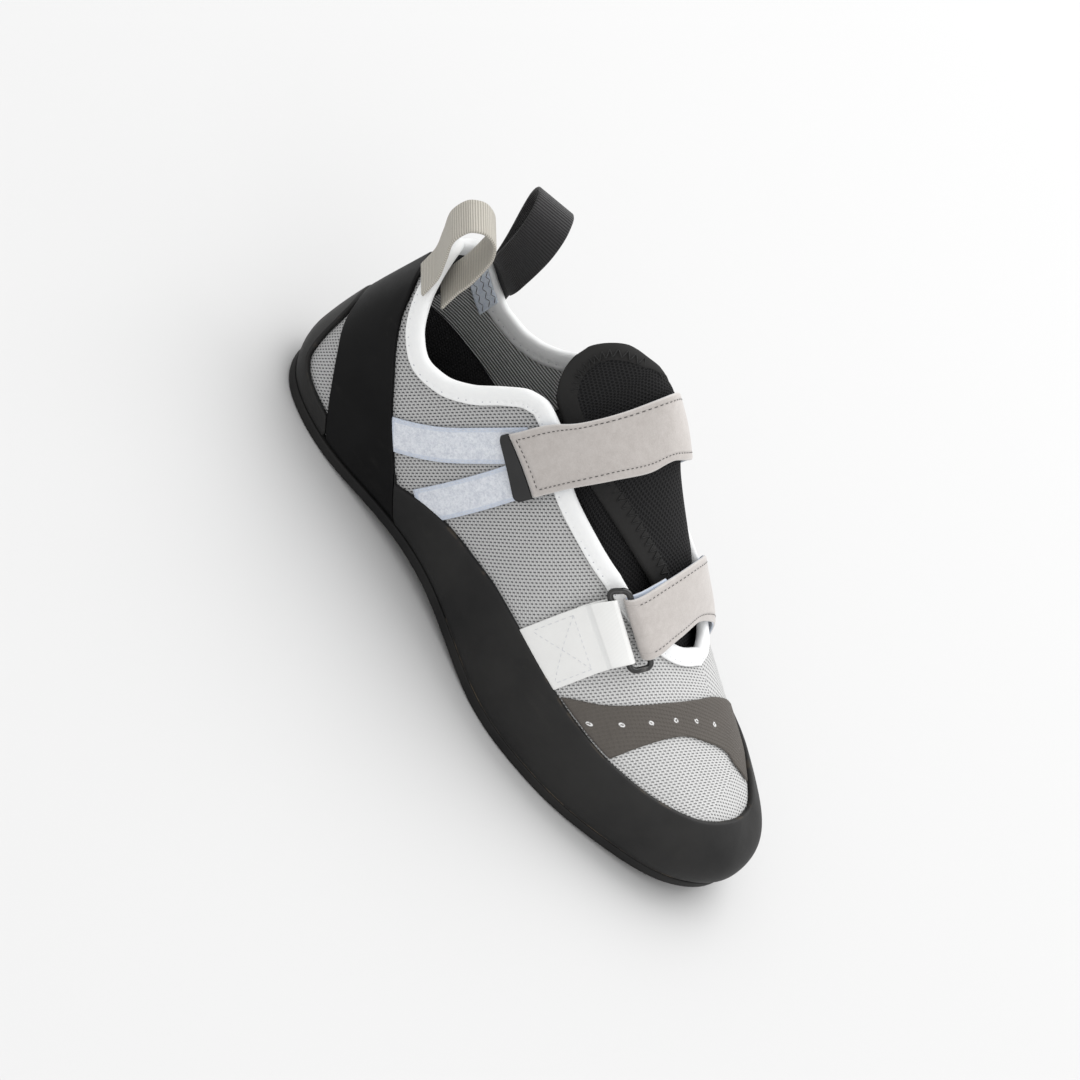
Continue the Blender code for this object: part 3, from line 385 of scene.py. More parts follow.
# Writes one mesh: equal points are merged, collapsed corners dropped, and each map is kept by corner
def addPiece(name, points, faces, maps, finish, nodes=()):
    flat = np.asarray(points, float).reshape(-1, 3)
    _, first, index = np.unique(np.round(flat, 3), axis=0, return_index=True, return_inverse=True)
    ring = index.reshape(-1)[faces]
    keep = ring != np.roll(ring, 1, axis=1)
    folded = (ring[:, 0] == ring[:, 2]) | (ring[:, 1] == ring[:, 3])
    good = (keep.sum(1) > 2) & ~folded
    ring, keep, faces = ring[good], keep[good], faces[good]
    corner = faces[keep]
    total = keep.sum(1)
    mesh = bpy.data.meshes.new(name)
    mesh.vertices.add(len(first))
    mesh.vertices.foreach_set("co", ((flat[first] - formCentre) * mm).ravel())
    mesh.loops.add(len(corner))
    mesh.loops.foreach_set("vertex_index", ring[keep].astype(np.int32))
    mesh.polygons.add(len(total))
    mesh.polygons.foreach_set("loop_start", (np.cumsum(total) - total).astype(np.int32))
    mesh.update(calc_edges=True)
    for key, values in maps.items():
        layer = mesh.uv_layers.new(name=key)
        layer.data.foreach_set("uv", np.asarray(values, float).reshape(-1, 2)[corner].ravel())
    mesh.validate()
    mesh.shade_smooth()
    mesh.materials.append(finishes[finish])
    piece = bpy.data.objects.new(name, mesh)
    bpy.context.scene.collection.objects.link(piece)
    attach(piece, "root")
    if nodes:
        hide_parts(*nodes)
    return piece


# Tube through a row of closed sections; the first point of each section comes back as its last
def sweep(name, sections, maps, finish, slot, nodes=(), capped=True):
    rows, columns = sections.shape[:2]
    faces = gridQuads(rows, columns)
    if capped:
        faces = np.concatenate([faces, capQuads(rows, columns)])
    return addPiece(name, sections, faces, maps, finish, nodes)


# Shares of a rib from one edge to the other, close together at both edges
edgeSteps = np.array([0, 0.1, 0.25, 0.5, 0.85, 1.4])
edgeRoom = 6


def edgeFractions(length, count):
    near = edgeSteps[None] * np.minimum(1, length / edgeRoom)[:, None]
    middle = np.linspace(0, 1, count)[None, 1:-1]
    inner = near[:, -1:] + (length[:, None] - 2 * near[:, -1:]) * middle
    return np.concatenate([near, inner, length[:, None] - near[:, ::-1]], 1)


# Sheet on the form between two depths, with rounded rims. The maps are the flat lie of the cloth and
# the distances to its upper and lower edges.
def formSheet(c, low, high, depth, count, rounding=(0.0, 0.0), bulge=None):
    high = np.maximum(high, low + 0.002)
    lengths = ribLengths(c)
    length = lookUp(lengths, low[:, None])[:, 0] - lookUp(lengths, high[:, None])[:, 0]
    run = edgeFractions(length, count)
    share = low[:, None] + (high - low)[:, None] * run / length[:, None]
    lie = clothLie(c, share)
    toTop = length[:, None] - run
    outer = np.full(run.shape, depth[1])
    for far, radius in ((toTop, rounding[0]), (run, rounding[1])):
        inside = np.clip(1 - far / max(radius, 1e-6), 0, 1)
        outer = outer - radius * (1 - np.sqrt(1 - inside ** 2))
    if bulge is not None:
        outer = outer + bulge(lie[..., 0], lie[..., 1])
    front, rear = [wall(c[:, None], share, k) for k in (outer, depth[0])]
    return closed(front, rear), closedMaps(cloth=lie, rim=np.stack([toTop, run], -1))


def sideWays(first, final, step, side):
    ways = np.linspace(wayAt(first), wayAt(final), int((wayAt(final) - wayAt(first)) / step) + 2)
    return ways if side < 0 else 2 * half - ways[::-1]


def roundToe(station, step):
    tip = fineStation[-1]
    return np.concatenate([sideWays(station, tip, step, -1), sideWays(station, tip, step, 1)[1:]])


def roundHeel(station, step):
    back = fineStation[0]
    outer = 2 * half + sideWays(back, station, step, -1)[1:]
    return np.concatenate([sideWays(back, station, step, 1), outer])


# Shader wiring: one socket, with sums and products that add Math nodes

class Wire:
    def __init__(self, tree, socket=None):
        self.tree = tree
        self.socket = socket

    def node(self, kind, settings=None, sockets=None, out=0):
        made = self.tree.nodes.new(kind)
        for key, value in (settings or {}).items():
            if key == "stops":
                ramp = made.color_ramp
                while len(ramp.elements) < len(value):
                    ramp.elements.new(1.0)
                for element, (place, colour) in zip(ramp.elements, value):
                    element.position = place
                    element.color = (*colour, 1.0)
            else:
                setattr(made, key, value)
        for key, value in (sockets or {}).items():
            if isinstance(value, Wire):
                self.tree.links.new(value.socket, made.inputs[key])
            else:
                made.inputs[key].default_value = value
        return Wire(self.tree, made.outputs[out])

    def maths(self, operation, *values):
        return self.node("ShaderNodeMath", {"operation": operation}, dict(enumerate(values)))

    def __add__(self, other):
        return self.maths("ADD", self, other)

    def __sub__(self, other):
        return self.maths("SUBTRACT", self, other)

    def __rsub__(self, other):
        return self.maths("SUBTRACT", other, self)

    def __mul__(self, other):
        return self.maths("MULTIPLY", self, other)

    def __truediv__(self, other):
        return self.maths("DIVIDE", self, other)

    __radd__ = __add__

    def floor(self):
        return self.maths("FLOOR", self)

    def fract(self):
        return self.maths("FRACT", self)

    def wave(self):
        return self.maths("SINE", self * (2 * np.pi))

    # Wave between 0 and 1
    def ripple(self):
        return self.wave() * 0.5 + 0.5

    def size(self):
        return self.maths("ABSOLUTE", self)

    def length(self, other):
        return self.maths("SQRT", self * self + other * other)

    # Smooth step that is 0 below the first value and 1 past the second
    def ease(self, low, high):
        return self.node("ShaderNodeMapRange", {"interpolation_type": "SMOOTHSTEP"},
                         {"Value": self, "From Min": low, "From Max": high})

    def blend(self, first, second):
        first, second = [k if isinstance(k, Wire) else (*k, 1.0) for k in (first, second)]
        return self.node("ShaderNodeMix", {"data_type": "RGBA"}, {0: self, 6: first, 7: second}, out=2)

    def places(self):
        return self.node("ShaderNodeTexCoord", out="Object")

    def noise(self, scale, detail=2.0, rough=0.5, at=None):
        return self.node("ShaderNodeTexNoise", {}, {"Vector": at or self.places(), "Scale": scale,
                                                    "Detail": detail, "Roughness": rough})

    def map(self, name):
        both = self.node("ShaderNodeUVMap", {"uv_map": name})
        x = both.node("ShaderNodeSeparateXYZ", {}, {0: both})
        return x, Wire(self.tree, x.socket.node.outputs[1])


socketNames = dict(rough="Roughness", shine="Specular IOR Level", sheen="Sheen Weight",
                   nap="Sheen Roughness", metal="Metallic", coat="Coat Weight")


def startFinish(name, **sockets):
    made = bpy.data.materials.new(name)
    made.use_nodes = True
    shader = made.node_tree.nodes["Principled BSDF"]
    for key, value in sockets.items():
        shader.inputs[socketNames[key]].default_value = value
    return made, Wire(made.node_tree)


def endFinish(made, base, rough=None, height=None, depth=None):
    tree = made.node_tree
    normal = None
    if height is not None:
        normal = height.node("ShaderNodeBump", {}, {"Strength": 1.0, "Distance": depth, "Height": height})
    for key, wire in (("Base Color", base), ("Roughness", rough), ("Normal", normal)):
        if wire is not None:
            tree.links.new(wire.socket, tree.nodes["Principled BSDF"].inputs[key])
    return made


# Staggered cells on a turned grid: place inside the cell from its middle
def cells(u, v, angle, pitch):
    a = u * np.cos(angle) + v * np.sin(angle)
    b = v * np.cos(angle) - u * np.sin(angle)
    row = (b / pitch[1]).floor()
    x = (a / pitch[0] + (row * 0.5).fract()).fract() - 0.5
    y = (b / pitch[1]).fract() - 0.5
    return x, y


knitLook = dict(pitch=(1.75, 1.22), angle=np.radians(58), hole=(0.10, 0.35), yarn=(0.62, 0.62, 0.615),
                shade=(0.36, 0.36, 0.36), gap=(0.03, 0.031, 0.035), open=(80, 200), depth=0.0004)


# Knit: staggered small gaps, yarn ribs between them and a faint cloudiness. It is paler in front, and darker
# with deeper gaps towards the heel: painted shade for the light falling off along the side.
def makeKnit():
    made, w = startFinish("knit_grey", rough=0.88, shine=0.25)
    u, v = w.map("cloth")
    x, y = cells(u, v, knitLook["angle"], knitLook["pitch"])
    gap = 1 - (x * 0.8 + y * 0.3).length(y * 1.1).ease(*knitLook["hole"])
    rib = (x * 2 + 0.5).ripple()
    fleck = w.noise(900.0)
    # front rises from 0 at the heel end to 1 in front and lightens the yarn and the gaps: painted shade that
    # darkens the knit towards the heel
    front = u.ease(*knitLook["open"])
    tone = rib * 0.3 + fleck * 0.3 + w.noise(28.0, 3.0) * 0.2 + front * 0.5 - 0.15
    yarn = tone.blend(knitLook["shade"], knitLook["yarn"])
    base = (gap * (0.96 - front * 0.24)).blend(yarn, knitLook["gap"])
    height = (1 - gap) * 0.8 + rib * 0.2 + fleck * 0.1
    return endFinish(made, base, height=height, depth=knitLook["depth"])


liningLook = dict(pitch=(1.5, 1.1), angle=0.6, base=(0.024, 0.024, 0.025), lift=(0.055, 0.055, 0.057),
                  depth=0.0002)


def makeLining():
    made, w = startFinish("lining_black", rough=0.95, shine=0.15)
    x, y = cells(*w.map("cloth"), liningLook["angle"], liningLook["pitch"])
    loop = 1 - x.length(y).ease(0.15, 0.5)
    base = (loop * 0.6 + w.noise(400.0) * 0.3).blend(liningLook["base"], liningLook["lift"])
    return endFinish(made, base, height=loop, depth=liningLook["depth"])


elasticLook = dict(rib=1.25, loop=0.9, base=(0.06, 0.06, 0.062), lift=(0.80, 0.80, 0.79), depth=0.0003)


# Elastic band: fine ribs along its length, crossed by small knit loops
def makeElastic():
    made, w = startFinish("elastic_grey", rough=0.9, shine=0.2)
    u, v = w.map("cloth")
    row = v / elasticLook["rib"]
    rib = row.ripple()
    loop = (u / elasticLook["loop"] + row.floor() * 0.5).ripple()
    base = (rib * 0.7 + loop * rib * 0.3).blend(elasticLook["base"], elasticLook["lift"])
    return endFinish(made, base, height=rib + loop * 0.2, depth=elasticLook["depth"])


rubberLook = dict(rand=((0.0085, 0.0085, 0.0088), (0.018, 0.0176, 0.0171)),
                  band=((0.0030, 0.0030, 0.0032), (0.0060, 0.0060, 0.0062)), glue=(0.075, 0.058, 0.04),
                  smudge=(0.026, 0.025, 0.023), drag=(1.0, 2.2, 3.0), depth=0.00006)


# Rubber: fine moulded grain, soft handling smudges and, on the rand, a trace of glue at its upper edge
def makeRubber(name, tones, rough, shine, glued):
    made, w = startFinish(name, shine=shine)
    grain = w.noise(2600.0, 2.0, 0.6)
    cloud = w.noise(22.0, 4.0, 0.6)
    dragged = w.node("ShaderNodeMapping", {}, {0: w.places(), "Scale": rubberLook["drag"]})
    smear = w.noise(60.0, 5.0, 0.65, at=dragged)
    base = cloud.ease(0.3, 0.7).blend(*tones)
    base = (smear.ease(0.56, 0.78) * 0.35).blend(base, rubberLook["smudge"])
    if glued:
        toTop, _ = w.map("rim")
        trace = (1 - toTop.ease(0.1, 0.5)) * w.noise(130.0, 3.0).ease(0.55, 0.68)
        base = (trace * 0.4).blend(base, rubberLook["glue"])
    tone = rough + (grain - 0.5) * 0.2 + (smear - 0.5) * 0.16
    return endFinish(made, base, tone, grain * 0.5 + cloud * 0.6, rubberLook["depth"])


overlayLook = dict(base=(0.070, 0.062, 0.055), lift=(0.110, 0.099, 0.088), dot=(0.72, 0.72, 0.72),
                   pitch=11.6, first=3.4, count=6, radius=1.25, depth=0.00022)


# Printed overlay: the knit shows through as low ribs, and a row of small pale rings runs along it
def makeOverlay():
    made, w = startFinish("overlay_taupe", rough=0.72, shine=0.25)
    x, y = cells(*w.map("cloth"), knitLook["angle"], knitLook["pitch"])
    rib = (y + x * 0.2).ripple()
    dent = 1 - x.length(y).ease(0.1, 0.4)
    run, aside = w.map("rim")
    first, pitch, radius = [overlayLook[k] for k in ("first", "pitch", "radius")]
    far = ((((run - first) / pitch + 0.5).fract() - 0.5) * pitch).length(aside)
    final = first + (overlayLook["count"] - 0.5) * pitch
    ring = (1 - far.ease(radius * 0.75, radius)) * (1 - run.ease(final - 0.5, final))
    middle = 1 - far.ease(0.3, 0.6)
    tone = rib * 0.2 + w.noise(700.0, 3.0) * 0.5 + w.noise(60.0, 3.0) * 0.3
    base = tone.blend(overlayLook["base"], overlayLook["lift"])
    speck = w.noise(1500.0).ease(0.35, 0.5)
    base = (ring * (1 - middle * 0.75) * speck).blend(base, overlayLook["dot"])
    return endFinish(made, base, height=rib * 0.6 - dent * 0.6, depth=overlayLook["depth"])


bindingLook = dict(base=(0.86, 0.86, 0.845), shade=(0.77, 0.78, 0.79), hole=(0.36, 0.37, 0.42), row=4.4,
                   pitch=2.9, radius=0.33, weave=0.55, depth=0.00016)


# Binding: close plain weave, a row of needle holes near its lower edge and small puckers beside them
def makeBindingFinish():
    made, w = startFinish("binding_white", rough=0.85, shine=0.25, sheen=0.25)
    u, v = w.map("cloth")
    pitch, radius, weave = [bindingLook[k] for k in ("pitch", "radius", "weave")]
    far = (((u / pitch).fract() - 0.5) * pitch).length(v - bindingLook["row"])
    hole = 1 - far.ease(radius * 0.5, radius)
    pucker = 1 - far.ease(0.3, 1.5)
    weave = (u / weave).wave() * (v / weave).wave() * 0.5 + 0.5
    fuzz = w.noise(520.0, 4.0, 0.65)
    base = (weave * 0.3 + fuzz * 0.6).blend(bindingLook["shade"], bindingLook["base"])
    base = (hole * w.noise(260.0).ease(0.35, 0.55) * 0.8).blend(base, bindingLook["hole"])
    height = weave * 0.4 + fuzz * 0.8 - pucker * 0.9
    return endFinish(made, base, height=height, depth=bindingLook["depth"])


meshLook = dict(pitch=(1.75, 1.15), base=(0.0045, 0.0045, 0.005), lift=(0.021, 0.0205, 0.021), depth=0.0006,
                bound=(0.011, 0.0107, 0.0105), boundLift=(0.025, 0.0245, 0.024), edge=8.0, blur=0.15)


# Spacer mesh: staggered oval wells between raised knitted ribs, with a smooth band along the free edge
def makeMesh():
    made, w = startFinish("mesh_black", rough=0.85, shine=0.22)
    far, _ = w.map("rim")
    bound = 1 - far.ease(meshLook["edge"] - meshLook["blur"], meshLook["edge"] + meshLook["blur"])
    x, y = cells(*w.map("cloth"), np.radians(90), meshLook["pitch"])
    well = 1 - x.length(y * 0.9).ease(0.16, 0.46)
    fibre = w.noise(1400.0, 3.0, 0.7)
    spacer = ((1 - well) * (fibre * 0.9 + 0.25)).blend(meshLook["base"], meshLook["lift"])
    plain = (fibre * 0.5 + w.noise(70.0, 3.0) * 0.5).blend(meshLook["bound"], meshLook["boundLift"])
    height = (1 - bound) * ((1 - well) * 0.8 + fibre * 0.25) + bound * (fibre * 0.12 + 1.3)
    return endFinish(made, bound.blend(spacer, plain), height=height, depth=meshLook["depth"])


suedeLook = dict(base=(0.40, 0.37, 0.35), lift=(0.49, 0.46, 0.44), edge=(0.57, 0.55, 0.53),
                 lining=((0.51, 0.561, 0.646), (0.60, 0.66, 0.76)), groove=2.6, depth=0.00022)


# Microsuede: short nap in two sizes, worn pale at the edges, pale woven lining underneath
def makeSuede():
    made, w = startFinish("suede_grey", rough=0.92, shine=0.2, sheen=0.35, nap=0.5)
    fromEdge, side = w.map("rim")
    nap = w.noise(1900.0, 3.0, 0.7)
    tuft = w.noise(330.0, 4.0, 0.65)
    tone = nap * 0.4 + tuft * 0.4 + w.noise(40.0, 3.0) * 0.2
    base = tone.ease(0.3, 0.7).blend(suedeLook["base"], suedeLook["lift"])
    base = ((1 - fromEdge.ease(0.1, 0.9)) * 0.6).blend(base, suedeLook["edge"])
    lining = w.noise(800.0).blend(*suedeLook["lining"])
    groove = 1 - (fromEdge - suedeLook["groove"]).size().ease(0.1, 0.7)
    height = nap * 0.35 + tuft * 0.35 - groove * 0.9
    return endFinish(made, side.ease(0.42, 0.5).blend(lining, base), height=height, depth=suedeLook["depth"])


# fold is the tone of painted shade laid along the crease
satinLook = dict(base=(0.80, 0.80, 0.785), shade=(0.70, 0.70, 0.69), fold=(0.52, 0.53, 0.53), rib=0.42,
                 crease=27.4, slant=0.05, depth=0.00010)


# Satin tape: very fine cross ribs, a soft sheen and one crease across it, darkened along the crease with
# painted shade
def makeSatin():
    made, w = startFinish("satin_white", shine=0.4, sheen=0.2)
    u, v = w.map("cloth")
    rib = (u / satinLook["rib"]).ripple()
    slub = w.noise(120.0, 4.0)
    past = u - satinLook["crease"] + v * satinLook["slant"]
    crease = 1 - (past * past).ease(0.0, 1.6)
    base = (rib * 0.3 + slub * 0.6).blend(satinLook["shade"], satinLook["base"])
    # the fold tone along the crease is painted shade
    base = (crease * 0.35).blend(base, satinLook["fold"])
    height = rib * 0.4 + slub * 0.8 - crease * 2.0
    return endFinish(made, base, 0.5 + slub * 0.2, height, satinLook["depth"])


patchLook = dict(pile=((0.53, 0.56, 0.625), (0.73, 0.755, 0.80)), edge=(0.45, 0.52, 0.65), depth=0.0005,
                 lining=((0.60, 0.66, 0.77), (0.76, 0.81, 0.88)))


# Loop pile: tangled fibre tufts with small dark gaps and a flat woven selvedge
def makePatch(name, tones):
    made, w = startFinish(name, rough=0.95, shine=0.2, sheen=0.3)
    fromEdge, _ = w.map("rim")
    pile = w.noise(1150.0, 4.0, 0.75)
    tuft = w.noise(420.0, 3.0, 0.6)
    base = (pile * 0.6 + tuft * 0.4).ease(0.34, 0.62).blend(*tones)
    base = ((1 - fromEdge.ease(1.3, 2.0)) * 0.5).blend(base, patchLook["edge"])
    return endFinish(made, base, height=pile + tuft * 0.6, depth=patchLook["depth"])


# Small plain pieces: dark and light tone, and depth of the bump
plainLook = dict(label=((0.010, 0.010, 0.0105), (0.020, 0.020, 0.0205), 0.00005),
                 ring=((0.028, 0.028, 0.028), (0.09, 0.088, 0.085), 0.00002),
                 board=((0.018, 0.018, 0.018), (0.05, 0.05, 0.05), 0.0003),
                 glue=((0.012, 0.011, 0.010), (0.075, 0.057, 0.036), 0.0001))


def makeLabel():
    made, w = startFinish("label_black", shine=0.4)
    dark, light, depth = plainLook["label"]
    grain = w.noise(2200.0)
    return endFinish(made, w.noise(90.0, 3.0).blend(dark, light), 0.45 + grain * 0.2, grain, depth)


def makeRingFinish():
    made, w = startFinish("ring_black", metal=0.65, coat=0.3)
    dark, light, depth = plainLook["ring"]
    wear = w.noise(340.0, 4.0).ease(0.5, 0.75)
    return endFinish(made, wear.blend(dark, light), 0.26 + wear * 0.2, wear, depth)


def makeBoard():
    made, w = startFinish("board_dark", rough=0.95, shine=0.15)
    dark, light, depth = plainLook["board"]
    felt = w.noise(700.0, 4.0, 0.7)
    return endFinish(made, felt.blend(dark, light), height=felt, depth=depth)


def makeGlue():
    made, w = startFinish("glue_amber", shine=0.4)
    dark, light, depth = plainLook["glue"]
    lump = w.noise(120.0, 4.0, 0.6)
    return endFinish(made, lump.ease(0.45, 0.66).blend(dark, light), 0.4 + lump * 0.3, lump, depth)


webbingLook = dict(rib=0.92, thread=0.34, beige=((0.29, 0.27, 0.23), (0.50, 0.475, 0.42)),
                   black=((0.0022, 0.0022, 0.0025), (0.017, 0.016, 0.017)), depth=0.00022)


# Grosgrain: round ribs across the band and fine threads over them
def makeWebbing(tone):
    made, w = startFinish("webbing_" + tone, rough=0.7, shine=0.35, sheen=0.15)
    u, v = w.map("cloth")
    rib = (u / webbingLook["rib"]).ripple()
    thread = (v / webbingLook["thread"]).ripple()
    lit = rib * 0.55 + thread * 0.15 + w.noise(1600.0, 3.0) * 0.35
    base = lit.ease(0.1, 0.85).blend(*webbingLook[tone])
    return endFinish(made, base, height=rib + thread * 0.2, depth=webbingLook["depth"])


threadLook = dict(dark=((0.03, 0.028, 0.028), (0.10, 0.095, 0.09)),
                  black=((0.004, 0.004, 0.004), (0.02, 0.02, 0.02)),
                  pale=((0.52, 0.54, 0.58), (0.72, 0.73, 0.75)), twist=2.5, depth=0.00008)


# Thread: a twist of fine stripes along each stitch
def makeThread(tone):
    made, w = startFinish("thread_" + tone, rough=0.6, shine=0.3)
    u, v = w.map("cloth")
    twist = (u * threadLook["twist"] + v).ripple()
    base = (twist * 0.6 + w.noise(900.0) * 0.4).blend(*threadLook[tone])
    return endFinish(made, base, height=twist, depth=threadLook["depth"])


finishes = dict(
    knit=makeKnit(), lining=makeLining(), elastic=makeElastic(), overlay=makeOverlay(),
    rand=makeRubber("rubber_black", rubberLook["rand"], 0.55, 0.2, True),
    tread=makeRubber("rubber_sole", rubberLook["rand"], 0.62, 0.17, False),
    band=makeRubber("rubber_band", rubberLook["band"], 0.5, 0.1, False),
    binding=makeBindingFinish(), mesh=makeMesh(), suede=makeSuede(), satin=makeSatin(),
    patch=makePatch("patch_pale", patchLook["pile"]), anchor=makePatch("patch_lining", patchLook["lining"]),
    label=makeLabel(), ring=makeRingFinish(), board=makeBoard(), glue=makeGlue(),
    beige=makeWebbing("beige"), black=makeWebbing("black"),
    darkThread=makeThread("dark"), blackThread=makeThread("black"), paleThread=makeThread("pale"),
)
print("finishes made:", len(finishes))

# Upper: knit outside, lining inside

upper = dict(step=1.15, knit=(-0.9, 0.0), lining=(-1.8, -1.0), knitRows=46, liningRows=24)

# Soft creases of the knit: place and half length on the flat lie, angle, half width and depth
creaseNames = ("u", "v", "reach", "angle", "width", "depth")
creases = np.array([
    (150.0, -52.0, 20.0, 62, 3.2, -0.55),  # flex line at the outer ball
    (163.0, -50.0, 16.0, 70, 3.0, 0.35),
    (118.0, -58.0, 22.0, 80, 4.0, -0.40),  # pull of the upper strap
    (100.0, -62.0, 18.0, 95, 3.6, 0.40),
    (62.0, -55.0, 16.0, 25, 4.0, -0.45),  # hollow in front of the heel
    (150.0, 50.0, 20.0, -60, 3.4, -0.50),  # flex lines at the inner ball
    (166.0, 48.0, 16.0, -72, 3.2, 0.35),
    (96.0, 60.0, 22.0, -40, 5.0, -0.55),  # hollow over the arch
    (206.0, -14.0, 14.0, 88, 3.0, -0.30),  # toe creases beside the overlay
    (208.0, 16.0, 14.0, -86, 3.0, -0.30),
])


# Sum of soft troughs and ridges: each is a bell across its line that fades out along it
def creased(u, v):
    total = np.zeros_like(u)
    for row in creases:
        crease = dict(zip(creaseNames, row))
        angle = np.radians(crease["angle"])
        x, y = u - crease["u"], v - crease["v"]
        along = (x * np.cos(angle) + y * np.sin(angle)) / crease["reach"]
        across = (y * np.cos(angle) - x * np.sin(angle)) / crease["width"]
        total += crease["depth"] * np.exp(-across ** 2) * np.clip(1 - along ** 2, 0, 1) ** 2
    return total


def makeUpper():
    front = wayAt(throatFront)
    back = np.linspace(0, front, int(front / upper["step"]))
    ahead = np.linspace(front, half, int((half - front) / upper["step"]))[1:]
    ways = np.concatenate([back, ahead])
    c = np.concatenate([ways, 2 * half - ways[-2::-1]])
    low, high = np.zeros(len(c)), edgeShare(c)
    sheet = formSheet(c, low, high, upper["knit"], upper["knitRows"], bulge=creased)
    sweep("upper_knit", *sheet, "knit", "knit_grey", ("upper",), capped=False)
    sheet = formSheet(c[::2], low[::2], high[::2], upper["lining"], upper["liningRows"])
    sweep("upper_lining", *sheet, "lining", "mesh_black", capped=False)


makeUpper()
print("upper made")

# Rubber

rubber = dict(step=1.3, finer=0.7, rand=(0.4, 2.4), sling=(0.4, 2.0), seam=0.7, rows=26,
              randRims=(0.9, 0.3), slingRims=(0.7, 0.7), heelFront=37.0)


def makeRubbers():
    c = roundToe(randTop["station"][0], rubber["step"])
    seam = shareAt(c, level(slingFront, c) + rubber["seam"])
    low = np.where(stationOf(c) < slingFront["station"][-1] - 0.1, seam, 0.0)
    high = np.maximum(shareAt(c, sided(randTop, c)), low)
    sheet = formSheet(c, low, high, rubber["rand"], rubber["rows"], rubber["randRims"])
    sweep("rand_rubber", *sheet, "rand", "rubber_black", ("rand",))

    c = roundHeel(slingFront["station"][-1], rubber["step"])
    low = np.where(stationOf(c) < slingBack["station"][-1], shareAt(c, level(slingBack, c)), 0.0)
    high = shareAt(c, level(slingFront, c))
    sheet = formSheet(c, low, high, rubber["sling"], rubber["rows"], rubber["slingRims"])
    sweep("slingshot_rubber", *sheet, "band", "rubber_band", ("slingshot",))

    c = roundHeel(rubber["heelFront"], rubber["step"] * rubber["finer"])
    high = shareAt(c, np.minimum(level(heelRandTop, c), level(slingBack, c) - rubber["seam"]))
    sheet = formSheet(c, np.zeros(len(c)), high, rubber["rand"], rubber["rows"], rubber["randRims"])
    sweep("heel_rubber", *sheet, "rand", "rubber_black", ("heel_rand",))


makeRubbers()

soleLook = dict(ways=280, columns=14, depth=2.9, inset=(1.6, 1.0, 0.45, 0.12, 0.0, 0.0, 0.05, 0.2, 0.55),
                up=(0.0, 0.12, 0.45, 1.0, 1.6, 3.8, 4.15, 4.38, 4.5))
boardLook = dict(ways=120, columns=10, depth=-2.4, inset=(0.3, 0.05, 0.0, 0.05, 0.3),
                 up=(0.3, 0.5, 1.3, 2.1, 2.3))


# Board across the shoe: at each place along it, down the inner edge, across the underside, up the outer
# edge and back over the top. Heights are above the sole's underside.
def crossBoard(look, base):
    s = half * (1 - np.cos(np.linspace(0, np.pi, look["ways"]))) / 2
    inset = np.array(look["inset"])[None]
    rise = np.array(look["up"])[None, :, None]
    outer, inner = [wall(way[:, None], 0.0, look["depth"] - inset) for way in (s, 2 * half - s)]
    for edge in (outer, inner):
        edge[..., 2:] = soleBottom(edge[..., 0], edge[..., 1])[..., None] + base + rise
    part = np.linspace(0, 1, look["columns"])[None, 1:-1, None]
    under = inner[:, :1] + (outer[:, :1] - inner[:, :1]) * part
    over = outer[:, -1:] + (inner[:, -1:] - outer[:, -1:]) * part
    for face, up in ((under, look["up"][0]), (over, look["up"][-1])):
        face[..., 2] = soleBottom(face[..., 0], face[..., 1]) + base + up
    return np.concatenate([inner[:, ::-1], under, outer, over, inner[:, -1:]], 1)


def makeSoles():
    for name, look, base, finish, slot, node in (
            ("outsole_rubber", soleLook, 0.0, "tread", "rubber_black", "outsole"),
            ("insole_board", boardLook, sole["thick"], "board", "board_dark", "insole")):
        sections = crossBoard(look, base)
        maps = dict(cloth=sections[..., :2])
        sweep(name, sections, maps, finish, slot, (node,), capped=False)


makeSoles()

glueLine = dict(first=120.0, depth=2.15, radius=0.28, lift=-0.12, step=1.5)


# Glue bead between rand and sole: a thin round bead carried round the toe
def makeGlueLine():
    c = roundToe(glueLine["first"], glueLine["step"])
    around = np.linspace(0, 2 * np.pi, 9)
    middle = wall(c, 0.0, glueLine["depth"])
    out = np.concatenate([outward(c), np.zeros((len(c), 1))], -1)
    ring = middle[:, None] - glueLine["radius"] * np.cos(around)[None, :, None] * out[:, None]
    ring[..., 2] += glueLine["lift"] + glueLine["radius"] * np.sin(around)[None]
    maps = dict(cloth=np.stack(np.broadcast_arrays(c[:, None], around[None]), -1))
    sweep("glue_line", ring, maps, "glue", "rubber_black")


makeGlueLine()
print("rubber and soles made")

# Bound edge: a folded tape along the edge of the knit. Each point of its section is so far in from the
# edge and so high over the form.
bindingTape = dict(
    far=(5.9, 5.85, 5.65, 5.2, 4.4, 3.0, 1.55, 0.3, -0.6, -1.05, -1.2, -1.05, -0.6, 0.3, 2.2, 4.6, 6.4, 6.8,
         6.8, 3.0, -0.2, -0.45, -0.45, -0.2, 2.6, 5.9),
    height=(0.65, 0.95, 1.2, 1.32, 1.16, 1.42, 1.45, 1.3, 0.85, 0.2, -0.75, -1.7, -2.35, -2.75, -2.9, -2.85,
            -2.75, -2.5, -2.25, -2.25, -2.25, -2.0, 0.4, 0.65, 0.65, 0.65), step=1.1)


